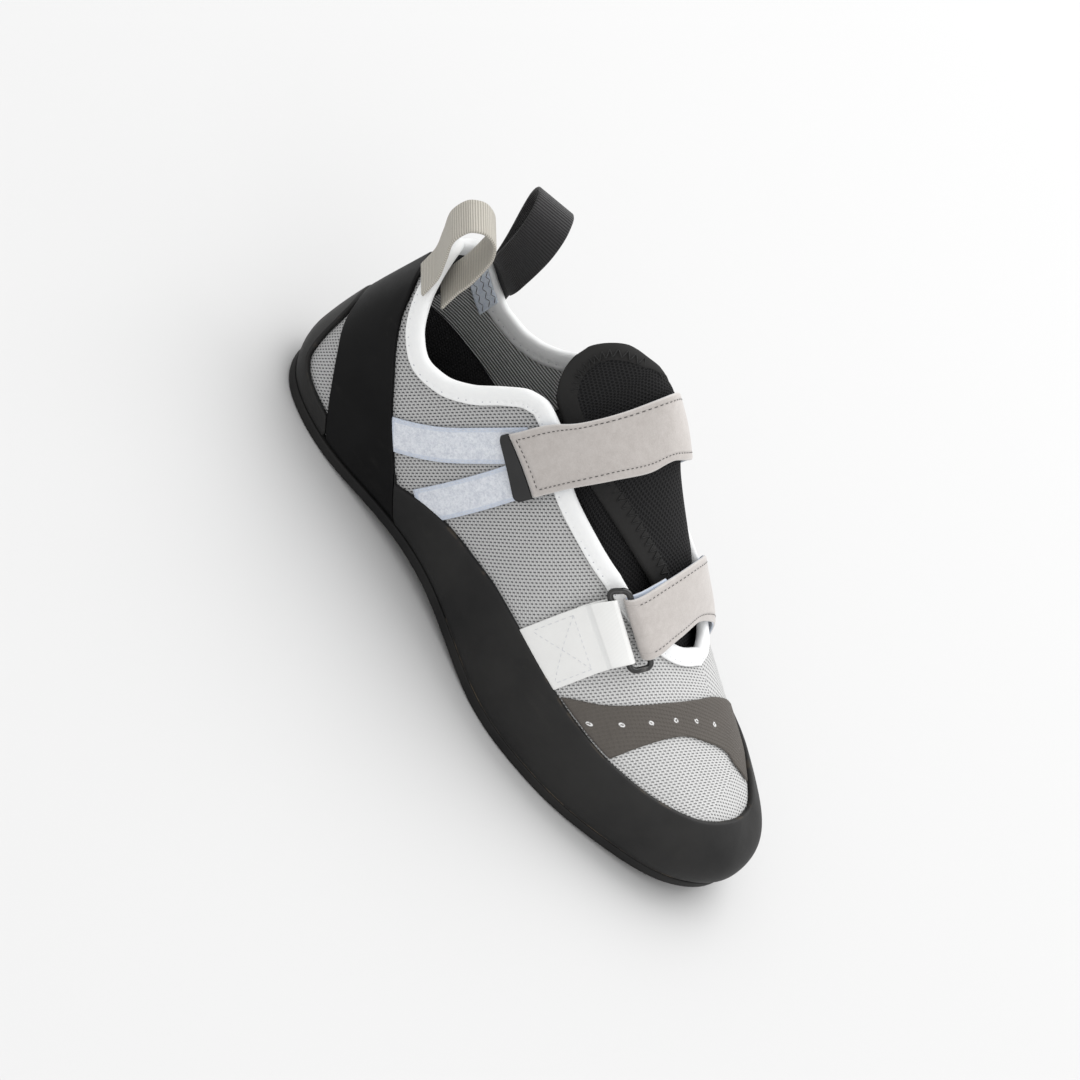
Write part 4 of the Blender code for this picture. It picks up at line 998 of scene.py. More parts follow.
def makeBinding():
    front = wayAt(throatFront)
    ways = np.linspace(0, front, int(front / bindingTape["step"]))
    c = np.concatenate([ways[::-1], 2 * half - ways[1:]])
    t = np.minimum(edgeShare(c), 1.0)
    edge = wall(c, t, 0.0)
    normal = unit(np.cross(*slopes(c, t)))
    inward = unit(np.cross(normal, unit(np.gradient(edge, axis=0))))
    far = np.array(bindingTape["far"])[None]
    places = [np.repeat(k[:, None], far.size, 1) for k in (c, t)]
    places = walk(*places, inward[:, None] * far[..., None])
    height = np.broadcast_to(np.array(bindingTape["height"])[None], places[0].shape)
    sections = above(*places, height)
    sections[-1] = sections[0]
    lie = np.stack(np.broadcast_arrays(runOf(edge)[:, None], far), -1)
    sweep("collar_tape", sections[:, ::-1], dict(cloth=lie[:, ::-1]), "binding", "binding_white",
          ("collar_binding",), capped=False)


makeBinding()
print("binding made")

# Tongue: two padded flaps of mesh, the upper one with a bound edge

tongue = dict(over=-6.5, half=0.9, boundHalf=1.3, bound=8.0, rounding=1.3, under=(-10.2, -8.4), start=67.0,
              underStart=84.0, front=199.0, tuck=0.16, tuckFrom=0.9, lap=0.12, step=1.1, columns=72,
              backRows=60, full=3.2, fullAt=(104, 122, 152, 180), fullAcross=(1.12, 0.26))
flapEdge = dict(station=(67, 67.8, 69.5, 72, 76, 84, 97, 110, 131, 152, 165, 176, 199),
                height=(110, 106, 102, 99, 96.5, 94, 90.5, 88, 86, 81, 74.5, 66, 52))
flapEnd = dict(station=(67, 67.8, 69.5, 72, 78, 85, 90, 94, 98, 102),
               share=(0.88, 0.92, 0.965, 1.0, 1.05, 1.10, 1.15, 1.24, 1.36, 1.48))
zigzag = dict(near=4.6, far=8.4, step=1.7, radius=0.27, lift=0.42, first=6.0, final=3.0, probe=3.0)


def flapShare(c):
    return shareAt(c, level(flapEdge, c), arched)


def tuckedShare(c):
    return np.minimum(edgeShare(c), tongue["tuckFrom"]) - tongue["tuck"]


# Far edge of the upper flap, counted past the ridge: its rounded end, then the tuck under the inner side
def flapFar(c):
    tucked = 2 - tuckedShare(2 * half - c)
    end = smooth(flapEnd["station"], flapEnd["share"], stationOf(c))
    return np.where(stationOf(c) < flapEnd["station"][-1], np.minimum(end, tucked), tucked)


# Short round threads from point to point, each a six-sided capsule with closed ends
capsule = dict(place=(0.0, 0.05, 0.25, 0.75, 0.95, 1.0), girth=(0.02, 0.65, 1.0, 1.0, 0.65, 0.02), sides=6,
               flat=0.8)


def threads(name, starts, ends, normals, radius, finish, slot):
    along = ends - starts
    side = unit(np.cross(along, normals))
    up = unit(np.cross(side, along))
    place = np.array(capsule["place"])
    girth = np.array(capsule["girth"]) * radius
    around = np.linspace(0, 2 * np.pi, capsule["sides"] + 1)
    shape = (place.size, around.size)
    across = np.cos(around)[None, None, :, None] * side[:, None, None]
    ring = across + np.sin(around)[None, None, :, None] * up[:, None, None] * capsule["flat"]
    points = starts[:, None, None] + along[:, None, None] * place[None, :, None, None]
    points = points - girth[None, :, None, None] * ring
    far = np.linalg.norm(along, axis=1)[:, None, None] * place[None, :, None] + 0 * around[None, None]
    turn = np.broadcast_to(around[None, None] / (2 * np.pi), far.shape)
    one = np.concatenate([gridQuads(*shape), capQuads(*shape)])
    faces = (one[None] + np.arange(len(starts))[:, None, None] * np.prod(shape)).reshape(-1, 4)
    return addPiece(name, points, faces, dict(cloth=np.stack([far, turn], -1)), finish)


# Flat lie of a flap: station along it and length from the ridge across it
def flapLie(c, share):
    outerSide = lookUp(ribLengths(c, arched), np.minimum(share, 1))
    innerSide = lookUp(ribLengths(2 * half - c, arched), np.minimum(2 - share, 1))
    return np.stack([np.broadcast_to(stationOf(c)[:, None], share.shape),
                     np.where(share <= 1, -outerSide, innerSide)], -1)


# Flap across the ridge between two shares. It is thickest in a band along its free edge, and round at
# the edge itself. The rim map holds the distance to that edge.
def flapSkin(c, share, path, depth):
    middle = wall(c[:, None], share, depth, arched)
    far = np.sqrt(((middle[:, :, None] - path[None, None]) ** 2).sum(-1).min(-1))
    edge = np.sqrt(1 - np.clip(1 - far / tongue["rounding"], 0, 1) ** 2)
    swell = np.clip((tongue["bound"] + 0.4 - far) / 0.8, 0, 1)
    thick = (tongue["half"] + (tongue["boundHalf"] - tongue["half"]) * swell) * edge
    bell = np.exp(-((share - tongue["fullAcross"][0]) / tongue["fullAcross"][1]) ** 2)
    full = tongue["full"] * bell * smooth(tongue["fullAt"], (0, 1, 1, 0), stationOf(c))[:, None]
    top, rear = [wall(c[:, None], share, depth + full + k, arched) for k in (thick, -thick)]
    maps = closedMaps(cloth=flapLie(c, share), rim=np.stack([far, 0 * far], -1))
    return closed(top, rear), maps, top


def makeOverFlap():
    start, end = wayAt(np.array([tongue["start"], tongue["front"]]))
    near = wayAt(flapEnd["station"][-1])
    rear = start + (near - start) * np.linspace(0, 1, tongue["backRows"]) ** 1.6
    c = np.concatenate([rear, np.linspace(near, end, int((end - near) / tongue["step"]))[1:]])
    low, high = flapShare(c), flapFar(c)
    part = 0.5 - 0.5 * np.cos(np.linspace(0, np.pi, tongue["columns"]))
    share = low[:, None] + (high - low)[:, None] * part[None]
    middle = wall(c[:, None], share, tongue["over"], arched)
    path = np.concatenate([middle[::-1, 0], middle[0, 1:], middle[1:len(rear), -1]])
    sections, maps, top = flapSkin(c, share, path, tongue["over"])
    piece = sweep("tongue_over", sections, maps, "mesh", "mesh_black", ("tongue_medial",))
    faced = unit(wall(c[:, None], share, tongue["over"] + zigzag["probe"], arched) - middle)
    makeZigzag(path, top.reshape(-1, 3), faced.reshape(-1, 3))


# Zigzag thread along the band's inner side, laid on the nearest part of the skin
def makeZigzag(path, spots, faced):
    run = runOf(path)
    at = np.arange(zigzag["first"], run[-1] - zigzag["final"], zigzag["step"])
    line = np.stack([np.interp(at, run, path[:, k]) for k in range(3)], -1)
    ahead = unit(np.gradient(line, axis=0))
    near = ((line[:, None] - spots[None]) ** 2).sum(-1).argmin(1)
    reach = np.where(np.arange(len(at)) % 2 == 1, zigzag["near"], zigzag["far"])[:, None]
    line = line - unit(np.cross(faced[near], ahead)) * reach
    near = ((line[:, None] - spots[None]) ** 2).sum(-1).argmin(1)
    normal = faced[near]
    line = line - normal * (((line - spots[near]) * normal).sum(-1, keepdims=True) - zigzag["lift"])
    threads("flap_zigzag", line[:-1], line[1:], normal[:-1], zigzag["radius"], "blackThread",
            "mesh_black")


def makeUnderFlap():
    c = sideWays(tongue["underStart"], tongue["front"], tongue["step"], -1)
    low, high = tuckedShare(c), np.minimum(flapShare(c) + tongue["lap"], 0.99)
    share = low[:, None] + (high - low)[:, None] * np.linspace(0, 1, tongue["columns"] // 2)[None]
    rear, front = [wall(c[:, None], share, depth, arched) for depth in tongue["under"]]
    lie = flapLie(c, share)
    maps = closedMaps(cloth=lie, rim=np.full(lie.shape, 2 * tongue["bound"]))
    sections = closed(front, rear)
    piece = sweep("tongue_under", sections, maps, "mesh", "mesh_black", ("tongue_lateral",))


makeOverFlap()
makeUnderFlap()
print("tongue made")

# Toe overlay

overlay = dict(depth=(0.6, 1.1), steps=(150, 36), seam=0.7, bevel=0.5, thin=0.8, spread=1.15)
overlayLine = dict(across=(0.0, 0.10, 0.29, 0.45, 0.71, 1.0), rear=(168.5, 181, 194.3, 202.2, 209.5, 214),
                   front=(198, 201, 209, 221.5, 240, 248))
dotLine = dict(across=(0.0, 0.08, 0.17, 0.24, 0.33, 0.40, 0.495, 0.7, 1.0),
               part=(0.40, 0.42, 0.44, 0.51, 0.50, 0.49, 0.51, 0.55, 0.55))


# Band across the vamp: across it from rand to rand, its width between two station lines
def makeOverlayBand():
    across = np.linspace(0, 1, overlay["steps"][0])
    part = np.linspace(0, 1, overlay["steps"][1])
    rear = smooth(overlayLine["across"], overlayLine["rear"], across)[:, None]
    front = smooth(overlayLine["across"], overlayLine["front"], across)[:, None]
    way = wayAt(rear + (front - rear) * part[None])
    low = shareAt(way.ravel(), sided(randTop, way.ravel()) + overlay["seam"]).reshape(way.shape)
    other = 2 * half - way.ravel()
    high = 2 - shareAt(other, sided(randTop, other) + overlay["seam"]).reshape(way.shape)
    share = low + (high - low) * across[:, None]
    top = wall(way, share, overlay["depth"][1])
    flat = wall(way, share, overlay["depth"][0])
    steps = np.linalg.norm(np.diff(top, axis=1), axis=2)
    width = np.concatenate([np.zeros((len(across), 1)), np.cumsum(steps, axis=1)], 1)
    edge = np.minimum(width, width[:, -1:] - width)
    slim = np.clip(1 - edge / overlay["bevel"], 0, 1)[..., None]
    top = top + (flat - top) * overlay["thin"] * slim
    dots = smooth(dotLine["across"], dotLine["part"], across)
    middle = np.stack([np.interp(p, part, w) for p, w in zip(dots, width)])
    run = runOf(top[:, len(part) // 2])
    rim = np.stack(np.broadcast_arrays(run[:, None], width - middle[:, None]), -1)
    lie = np.stack([ridge(sideWay(way))[..., 0], top[..., 1] * overlay["spread"]], -1)
    maps = closedMaps(cloth=lie[:, ::-1], rim=rim[:, ::-1])
    sections = closed(top[:, ::-1], flat[:, ::-1])
    sweep("toe_overlay", sections, maps, "overlay", "overlay_taupe", ("toe_band",))


makeOverlayBand()
print("overlay made")

# Straps, patches and ring


# Strip tied to the form at a few places, straight or bowed across, measured by its own length
class Strip:
    def __init__(self, table, width):
        rows = np.linspace(0, 1, len(table["station"]))
        ways = wayAt(np.array(table["station"], float))

        def place(where):
            return wrap(smooth(rows, ways, where), smooth(rows, table["across"], where))

        c, t = place(rows)
        ahead = wall(*place(rows + 0.01), 0.0) - wall(*place(rows - 0.01), 0.0)
        along, upward = slopes(c, t)
        side = unit(np.cross(np.cross(along, upward), ahead)) * width / 2
        depth = np.array(table["depth"])
        left = above(*walk(c, t, -side), depth)
        right = above(*walk(c, t, side), depth)
        self.half = width / 2
        self.middle = (left + right) / 2
        self.side = right - left
        self.bow = (above(c, t, depth) - self.middle) * np.array(table["bow"])[:, None]
        self.run = runOf(self.middle)
        self.length = self.run[-1]

    def at(self, columns, run):
        return np.stack([flowing(self.run, columns[:, k], run) for k in range(3)], -1)

    def point(self, run, aside, lift):
        inside = np.clip(run, 0.5, self.length - 0.5)
        ahead = unit(self.at(self.middle, inside + 0.5) - self.at(self.middle, inside - 0.5))
        side = unit(self.at(self.side, run))
        bowed = self.at(self.bow, run) * np.clip(1 - (aside / self.half) ** 2, 0, 1)[..., None]
        lifted = unit(np.cross(ahead, side)) * lift[..., None]
        return self.at(self.middle, run) + side * aside[..., None] + bowed + lifted


# Cross section of a band: flat faces with round edges, from one edge over the top to the other and back
def bandSection(width, thick, count):
    radius = thick / 2
    turn = np.linspace(-np.pi / 2, np.pi / 2, 7)
    flat = np.linspace(-0.5, 0.5, count)[1:-1]
    face = np.full(flat.size, radius)
    inner = width - 2 * radius
    aside = np.concatenate([inner * flat, inner / 2 + radius * np.cos(turn[::-1]), -inner * flat,
                            -inner / 2 - radius * np.cos(turn)])
    lift = np.concatenate([face, radius * np.sin(turn[::-1]), -face, radius * np.sin(turn)])
    return np.append(aside, aside[0]), np.append(lift, lift[0])


# Band along a strip: its section is carried square to a profile of run and lift
def ribbon(name, strip, profile, thick, widths, finish, slot, nodes, count=26, crown=0.0):
    ahead = unit(np.gradient(profile, axis=0))
    beside = np.stack([-ahead[:, 1], ahead[:, 0]], -1)
    widths = np.broadcast_to(np.asarray(widths, float), len(profile))
    whole = widths.max()
    aside, lift = bandSection(whole, thick, count)
    aside = aside[None] * (widths / whole)[:, None]
    swell = crown * np.clip(1 - (aside / (widths[:, None] / 2)) ** 2, 0, 1)
    lift = lift[None] + np.where(lift[None] > 0, swell, 0)
    run = profile[:, :1] + beside[:, :1] * lift
    high = profile[:, 1:] + beside[:, 1:] * lift
    far = runOf(profile)[:, None] + 0 * aside
    toEdge = widths[:, None] / 2 - np.abs(aside)
    toEdge = np.minimum(toEdge, np.minimum(far, far[-1:] - far))
    maps = dict(cloth=np.stack([far, aside], -1), rim=np.stack([toEdge, lift / thick + 0.5], -1))
    return sweep(name, strip.point(run, aside, high), maps, finish, slot, nodes)


def lay(runs, lifts, step):
    at = np.linspace(runs[0], runs[-1], int(round((runs[-1] - runs[0]) / step)) + 1)
    return np.stack([at, smooth(runs, lifts, at)], -1)


def fold(run, radius, turn):
    angle = np.linspace(np.pi / 2, -np.pi / 2, 19)
    return np.stack([run + turn * radius * np.cos(angle), radius * np.sin(angle)], -1)


# Stitches between two rows of places given by run and aside: both ends, and the way up from the strip
def stitchEnds(strip, a, b, liftA, liftB):
    starts = strip.point(a[:, 0], a[:, 1], liftA)
    up = strip.point(a[:, 0], a[:, 1], liftA + 1) - starts
    return starts, strip.point(b[:, 0], b[:, 1], liftB), unit(up)


# Row of stitches on a strip from one place to another
def stitchRow(strip, first, final, lift, pitch, share):
    first, final = np.array(first, float), np.array(final, float)
    count = max(int(np.linalg.norm(final - first) / pitch), 1)
    start = np.arange(count)[:, None] / count
    a = first + (final - first) * start
    b = first + (final - first) * (start + share / count)
    lifts = np.full(count, lift)
    return stitchEnds(strip, a, b, lifts, lifts)


def edgeRows(strip, edge, first, final, *stitch):
    return [stitchRow(strip, (first, side * edge), (final, side * edge), *stitch) for side in (-1, 1)]


# Sews rows of stitches as one piece
def sew(name, rows, radius, finish, slot):
    threads(name, *[np.concatenate(part) for part in zip(*rows)], radius, finish, slot)


strapLook = dict(width=25.0, thick=1.4, step=1.3, inset=2.6, raised=0.05, first=2.0, pitch=1.9, share=0.62,
                 thread=0.19, crown=0.18)
strapEdge = strapLook["width"] / 2 - strapLook["inset"]
stitchLift = strapLook["thick"] / 2 + strapLook["raised"]
strapStitch = (strapLook["pitch"], strapLook["share"])
upperStrap = dict(station=(102, 107, 111, 114.2, 115.6, 113.2, 107.8, 101, 95.8, 91.8, 88.2),
                  across=(1.555, 1.465, 1.37, 1.25, 1.10, 0.925, 0.79, 0.685, 0.61, 0.555, 0.508),
                  depth=(1.3, 3.0, 3.5, 3.1, 2.7, 2.7, 3.3, 4.3, 4.1, 3.6, 2.8),
                  bow=(1, 1, 0.8, 0.6, 0.5, 0.5, 0.5, 0.4, 0.3, 0.2, 0.1))
endTab = dict(length=6.0, lift=0.4, thick=2.2, wider=0.6, corner=1.9, gap=0.35, short=0.2, blunt=0.3,
              steps=30, seam=2.4, seamLift=0.1)


def makeUpperStrap():
    strip = Strip(upperStrap, strapLook["width"])
    end = strip.length - endTab["length"]
    ribbon("upper_strap", strip, lay((0, end), (0, 0), strapLook["step"]), strapLook["thick"],
           strapLook["width"], "suede", "suede_grey", ("strap_upper",), crown=strapLook["crown"])
    seam = end - endTab["seam"]
    rows = edgeRows(strip, strapEdge, strapLook["first"], seam, stitchLift, *strapStitch)
    rows.append(stitchRow(strip, (seam, -strapEdge), (seam, strapEdge), stitchLift + endTab["seamLift"],
                          *strapStitch))
    sew("upper_strap_stitches", rows, strapLook["thread"], "darkThread", "suede_grey")
    # end tab: full width, then a quarter round at both corners of its free end
    corner = endTab["corner"]
    run = np.linspace(endTab["gap"], endTab["length"] - endTab["short"], endTab["steps"])
    left = np.clip((run - (run[-1] - corner)) / corner, 0, 1)
    narrow = np.minimum(corner * (1 - np.sqrt(1 - left ** 2)), corner - endTab["blunt"])
    widths = strapLook["width"] + endTab["wider"] - 2 * narrow
    profile = np.stack([end + run, np.full(len(run), endTab["lift"])], -1)
    ribbon("end_tab", strip, profile, endTab["thick"], widths, "label", "label_black",
           ("strap_upper_tab",))


makeUpperStrap()

patches = dict(
    loop_patch_upper=dict(station=(52.4, 66, 77, 84.5), across=(0.318, 0.433, 0.545, 0.60)),
    loop_patch_lower=dict(station=(80.5, 86, 92.5, 94.8), across=(0.235, 0.335, 0.455, 0.497)))
patchSize = dict(width=13.5, thick=0.7, depth=0.8, step=1.0, crown=0.15, inset=0.9, first=1.0, lift=0.36,
                 stitch=(2.2, 0.6), thread=0.14)


def makePatches():
    for name, table in patches.items():
        ties = len(table["station"])
        flat = dict(table, depth=(patchSize["depth"],) * ties, bow=(1,) * ties)
        strip = Strip(flat, patchSize["width"])
        ribbon(name + "_pile", strip, lay((0, strip.length), (0, 0), patchSize["step"]), patchSize["thick"],
               patchSize["width"], "patch", "patch_pale", (name,), crown=patchSize["crown"])
        edge = patchSize["width"] / 2 - patchSize["inset"]
        rows = edgeRows(strip, edge, patchSize["first"], strip.length - patchSize["first"],
                        patchSize["lift"], *patchSize["stitch"])
        sew(name + "_stitches", rows, patchSize["thread"], "paleThread", "patch_pale")


makePatches()

lowerStrap = dict(station=(175, 170, 166, 164.5, 163, 159.5, 153, 151.6),
                  across=(1.56, 1.30, 1.0, 0.80, 0.68, 0.60, 0.37, 0.32),
                  depth=(1.2, 3.4, 2.8, 4.6, 5.2, 5.0, 0.95, 0.95), bow=(1, 1, 1, 0.5, 0, 0, 1, 1),
                  ringTie=4, rise=18.0, back=((6.0, 12.0, 17.0), (-2.0, -1.85, -1.8)), final=1.5)
ringLook = dict(wire=1.2, gap=0.3, high=8.0, wide=32.0, corner=2.4, steps=160, sides=16)
ringTab = dict(width=25.5, thick=0.9, under=((13.0, 6.0), (-1.3, -1.5)), over=(4, 14), dip=0.6, inset=2.2,
               near=14.5, far=6.0, raised=0.03, stitch=(2.3, 0.6), thread=0.11)


# Strap that climbs to the ring, turns round its bar and comes back underneath
def makeLowerStrap(strip, bar):
    turn = ringLook["wire"] + ringLook["gap"] + strapLook["thick"] / 2
    flat = bar - lowerStrap["rise"]
    climb = ((0, flat, bar), (0, 0, turn))
    under = lay(*lowerStrap["back"], strapLook["step"]) * [-1, 1] + [bar, 0]
    profile = np.concatenate([lay(*climb, strapLook["step"]), fold(bar, turn, 1)[1:], under])
    ribbon("lower_strap", strip, profile, strapLook["thick"], strapLook["width"], "suede",
           "suede_grey", ("strap_lower",), crown=strapLook["crown"])
    rows = edgeRows(strip, strapEdge, strapLook["first"], flat, stitchLift, *strapStitch)
    # the last stretch climbs, so its stitches follow the rise
    at = np.arange(flat, bar - lowerStrap["final"], strapLook["pitch"])
    runs = (at, at + strapLook["pitch"] * strapLook["share"])
    lifts = [smooth(*climb, k) + stitchLift for k in runs]
    for side in (-1, 1):
        ends = [np.stack([k, np.full(len(at), side * strapEdge)], -1) for k in runs]
        rows.append(stitchEnds(strip, *ends, *lifts))
    sew("lower_strap_stitches", rows, strapLook["thread"], "darkThread", "suede_grey")


# Tape folded round the ring's lower bar, with a crossed box of stitches
def makeRingTab(strip, bar):
    low = bar + ringLook["high"]
    turn = ringLook["wire"] + ringLook["gap"] + ringTab["thick"] / 2
    under = np.stack([np.linspace(*ends, 8) for ends in ringTab["under"]], -1) + [low, 0]
    runs = (low + ringTab["over"][0], low + ringTab["over"][1], strip.length)
    over = lay(runs, (turn - ringTab["dip"], 0, 0), strapLook["step"])
    profile = np.concatenate([under, fold(low, turn, -1)[::-1], over])
    ribbon("ring_tape", strip, profile, ringTab["thick"], ringTab["width"], "satin",
           "binding_white", ("ring_tab",))
    edge = ringTab["width"] / 2 - ringTab["inset"]
    near, far = low + ringTab["near"], strip.length - ringTab["far"]
    lift = ringTab["thick"] / 2 + ringTab["raised"]
    box = [((near, -edge), (far, -edge)), ((near, edge), (far, edge)), ((near, -edge), (near, edge)),
           ((near, -edge), (far, edge)), ((near, edge), (far, -edge))]
    rows = [stitchRow(strip, a, b, lift, *ringTab["stitch"]) for a, b in box]
    sew("ring_tape_stitches", rows, ringTab["thread"], "paleThread", "binding_white")


# Ring: a round wire carried round a rectangle with round corners
def makeRing(strip, bar):
    corner = ringLook["corner"]
    wide, high = [ringLook[k] / 2 - corner for k in ("wide", "high")]
    turn = np.linspace(0, np.pi / 2, 13)
    quarters = []
    for q, (x, y) in enumerate(((1, 1), (-1, 1), (-1, -1), (1, -1))):
        angle = turn + q * np.pi / 2
        quarters.append(np.stack([x * wide + corner * np.cos(angle), y * high + corner * np.sin(angle)], -1))
    loop = np.concatenate([*quarters, quarters[0][:1]])
    far = runOf(loop)
    at = np.linspace(0, far[-1], ringLook["steps"] + 1)
    aside, run = [np.interp(at[:-1], far, loop[:, k]) for k in (0, 1)]
    run = bar + ringLook["high"] / 2 + run
    centre = strip.point(run, aside, np.zeros(len(run)))
    up = unit(strip.point(run, aside, np.ones(len(run))) - centre)
    ahead = unit(np.roll(centre, -1, 0) - np.roll(centre, 1, 0))
    outer = unit(np.cross(ahead, up))
    up = np.cross(outer, ahead)
    around = np.linspace(0, 2 * np.pi, ringLook["sides"] + 1)
    spoke = np.cos(around)[None, :, None] * outer[:, None] + np.sin(around)[None, :, None] * up[:, None]
    tube = centre[:, None] + ringLook["wire"] * spoke
    maps = dict(cloth=np.stack(np.broadcast_arrays(at[:, None], around[None]), -1))
    sweep("ring_wire", np.concatenate([tube, tube[:1]]), maps, "ring", "ring_black", ("ring",),
          capped=False)


lowerStrip = Strip(lowerStrap, strapLook["width"])
ringBar = lowerStrip.run[lowerStrap["ringTie"]]
makeLowerStrap(lowerStrip, ringBar)
makeRingTab(lowerStrip, ringBar)
makeRing(lowerStrip, ringBar)
print("straps and ring made")

# Pull loops: a band carried round an open loop that stands on the collar

loopLook = dict(thick=1.3, steps=110, points=14)
pullLoops = dict(
    pull_loop_lateral=dict(
        side=-1, station=9.0, height=29.0, width=16.0, lean=(-0.16, 0.05), turn=0.0, tilt=0.0, finish="beige",
        out=(3.6, 3.2, 5.8, 8.5, 6.0, 0.0, -6.5, -9.5, -9.0, -7.2, -6.4),
        up=(-0.22, 0.05, 0.38, 0.68, 0.92, 1.0, 0.90, 0.64, 0.30, 0.02, -0.25)),
    pull_loop_medial=dict(
        side=1, station=26.0, height=43.0, width=17.5, lean=(-0.24, 0.04), turn=12.0, tilt=-0.5,
        out=(5.7, 5.2, 7.2, 6.6, 1.0, -5.0, -11.5, -15.0, -13.0, -5.0, 0.5, 3.0, 3.6),
        up=(-0.16, 0.03, 0.40, 0.74, 0.95, 1.0, 0.93, 0.70, 0.38, 0.17, 0.095, 0.01, -0.10), finish="black"))


# The turn about the upright grows from the collar to the loop's top, and the tilt along the collar fades
def makePullLoops():
    for name, loop in pullLoops.items():
        out = np.array(loop["out"])
        up = np.array(loop["up"]) * loop["height"]
        run = np.concatenate([[0], np.cumsum(np.hypot(np.diff(out), np.diff(up)))])
        at = np.linspace(0, run[-1], loopLook["steps"])
        line = np.stack([smooth(run, out, at), smooth(run, up, at)], -1)
        ahead = unit(np.gradient(line, axis=0))
        beside = np.stack([ahead[:, 1], -ahead[:, 0]], -1)
        c = wayAt(loop["station"])
        c = np.array([c if loop["side"] < 0 else 2 * half - c])
        foot = wall(c, edgeShare(c), 0.0)[0]
        high = np.clip(line[:, 1] / loop["height"], 0, 1)
        grown = high * high * (3 - 2 * high)
        first = outward(c)[0]
        angle = np.arctan2(first[1], first[0]) + np.radians(loop["turn"]) * grown
        normal = np.stack([np.cos(angle), np.sin(angle), 0 * angle], -1)
        tangent = unit(np.stack([normal[:, 1], -normal[:, 0], loop["tilt"] * (1 - grown)], -1))
        lean = np.array([*loop["lean"], 1.0])
        aside, lift = bandSection(loop["width"], loopLook["thick"], loopLook["points"])
        spot = line[:, None] + beside[:, None] * lift[None, :, None]
        sections = foot + spot[..., :1] * normal[:, None] + spot[..., 1:] * lean
        sections = sections + aside[None, :, None] * tangent[:, None]
        maps = dict(cloth=np.stack(np.broadcast_arrays(at[:, None], aside[None]), -1))
        slot = "webbing_" + loop["finish"]
        sweep(name + "_webbing", sections, maps, loop["finish"], slot, (name,))


makePullLoops()
print("pull loops made")

# Inside: elastic band along the far wall, and the lining patch that holds the inner pull loop

heelBand = dict(first=16.0, final=80.0, low=45.0, drop=6.2, depth=(-2.5, -1.9), rows=20, step=1.4)
anchor = dict(first=16.0, final=33.0, drop=11.0, over=-0.4, depth=-3.1, thick=0.6, step=0.7, rows=18, rim=5.0,
              rowsOfThread=(0.25, 0.6, 0.9), stitch=2.4, swing=0.07, thread=0.13, raised=0.1)


def makeHeelBand():
    c = sideWays(heelBand["first"], heelBand["final"], heelBand["step"], 1)
    low = shareAt(c, np.full(len(c), heelBand["low"]))
    high = shareAt(c, sided(collarLine, c) - heelBand["drop"])
    sheet = formSheet(c, low, high, heelBand["depth"], heelBand["rows"])
    sweep("heel_band", *sheet, "elastic", "mesh_black")


# Lining patch sewn over the loop's ends, flat on the inside of the far wall, with rows of dark zigzag
def makeAnchor():
    c = sideWays(anchor["first"], anchor["final"], anchor["step"], 1)
    collar = sided(collarLine, c)
    low, high = shareAt(c, collar - anchor["drop"]), shareAt(c, collar + anchor["over"])
    part = np.linspace(0, 1, anchor["rows"])[None]
    share = low[:, None] + (high - low)[:, None] * part
    inner = anchor["depth"] - anchor["thick"]
    front, rear = [wall(c[:, None], share, depth) for depth in (anchor["depth"], inner)]
    lie = np.stack(np.broadcast_arrays(stationOf(c)[:, None], part * anchor["drop"]), -1)
    maps = closedMaps(cloth=lie, rim=np.full(lie.shape, anchor["rim"]))
    sweep("anchor_patch", closed(front, rear), maps, "anchor", "patch_pale")
    across = np.arange(1, len(c) - 1, int(anchor["stitch"] / anchor["step"]))
    swing = np.where(np.arange(len(across)) % 2 == 1, anchor["swing"], -anchor["swing"])
    inward = -np.concatenate([outward(c[across]), np.zeros((len(across), 1))], -1)
    rows = []
    for row in anchor["rowsOfThread"]:
        place = low[across] + (high - low)[across] * np.clip(row + swing, 0, 1)
        skin = wall(c[across], place, inner - anchor["raised"])
        rows.append((skin[:-1], skin[1:], inward[:-1]))
    sew("anchor_stitches", rows, anchor["thread"], "darkThread", "patch_pale")


makeHeelBand()
makeAnchor()
print("inside made")

# Studio: pale floor, soft light, and a camera rolled as the shoe is tilted in the picture

studio = dict(floor=3.0, shade=0.60, cloud=0.01, world=1.02)
lights = dict(key=dict(place=(-0.15, 1.6, 2.4), size=3.0, power=66.0),
              fill=dict(place=(0.9, -1.2, 0.9), size=1.2, power=4.0))
view = dict(azimuth=-1.0, elevation=35.0, roll=54.5, distance=1.4, target=(132.0, 0.0, 45.0),
            centre=(576.0, 562.0), perMm=2.65, image=1080.0, sensor=36.0)


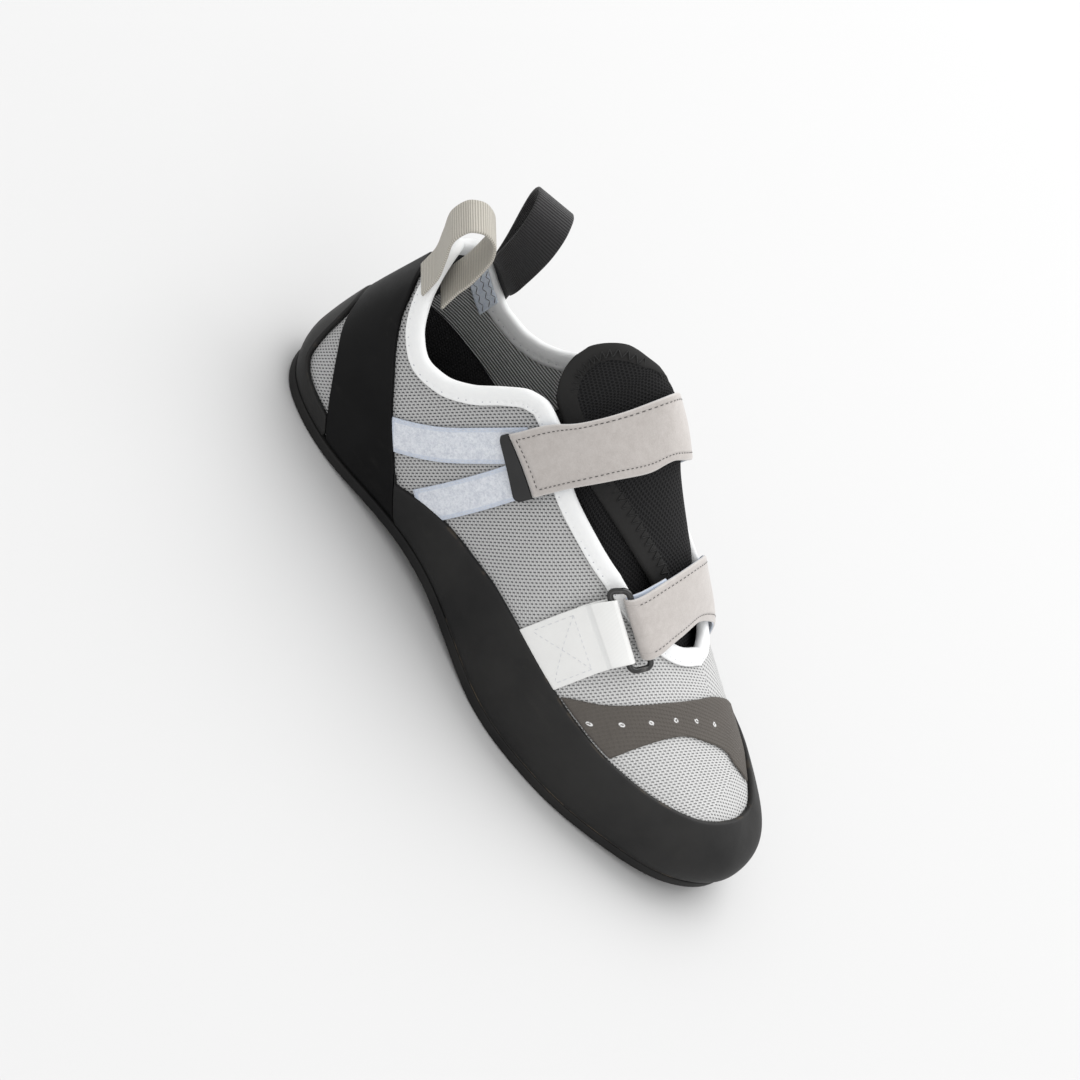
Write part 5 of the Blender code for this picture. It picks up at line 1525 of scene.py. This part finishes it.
def makeStudio():
    size = studio["floor"]
    corners = [(-size, -size, 0.0), (size, -size, 0.0), (size, size, 0.0), (-size, size, 0.0)]
    mesh = bpy.data.meshes.new("floor")
    mesh.from_pydata(corners, [], [(0, 1, 2, 3)])
    made, w = startFinish("floor_pale", rough=0.9, shine=0.1)
    tones = [(shade,) * 3 for shade in (studio["shade"] - studio["cloud"], studio["shade"])]
    mesh.materials.append(endFinish(made, w.noise(3.0).blend(*tones)))
    floor = bpy.data.objects.new("floor", mesh)
    bpy.context.scene.collection.objects.link(floor)

    world = bpy.data.worlds.new("studio")
    bpy.context.scene.world = world
    world.use_nodes = True
    background = world.node_tree.nodes["Background"]
    background.inputs["Color"].default_value = (1.0, 1.0, 1.0, 1.0)
    background.inputs["Strength"].default_value = studio["world"]
    bpy.context.scene.view_settings.view_transform = "Standard"

    for name, light in lights.items():
        lamp = bpy.data.lights.new(name, "AREA")
        lamp.size = light["size"]
        lamp.energy = light["power"]
        made = bpy.data.objects.new(name, lamp)
        turned = Vector(light["place"]).to_track_quat("Z", "Y").to_matrix().to_4x4()
        made.matrix_world = Matrix.Translation(light["place"]) @ turned
        bpy.context.scene.collection.objects.link(made)


def makeCamera():
    azimuth, elevation, roll = np.radians([view["azimuth"], view["elevation"], view["roll"]])
    flat = np.array([np.sin(azimuth), -np.cos(azimuth), 0.0]) * np.cos(elevation)
    back = flat + np.array([0.0, 0.0, np.sin(elevation)])
    right = np.array([np.cos(azimuth), np.sin(azimuth), 0.0])
    up = np.cross(back, right)
    rolledRight = right * np.cos(roll) + up * np.sin(roll)
    rolledUp = up * np.cos(roll) - right * np.sin(roll)
    target = (np.array(view["target"]) - formCentre) * mm
    place = target + back * view["distance"]
    lens = bpy.data.cameras.new("camera")
    width = view["image"] / view["perMm"] * mm
    lens.sensor_width = view["sensor"]
    lens.lens = view["sensor"] * view["distance"] / width
    lens.shift_x = 0.5 - view["centre"][0] / view["image"]
    lens.shift_y = view["centre"][1] / view["image"] - 0.5
    columns = np.stack([rolledRight, rolledUp, back], 1)
    turned = Matrix([[*row, 0.0] for row in columns] + [[0, 0, 0, 1]])
    camera = bpy.data.objects.new("camera", lens)
    camera.matrix_world = Matrix.Translation(place) @ turned
    bpy.context.scene.collection.objects.link(camera)
    bpy.context.scene.camera = camera


makeStudio()
makeCamera()
bpy.context.view_layer.update()
print("studio made")
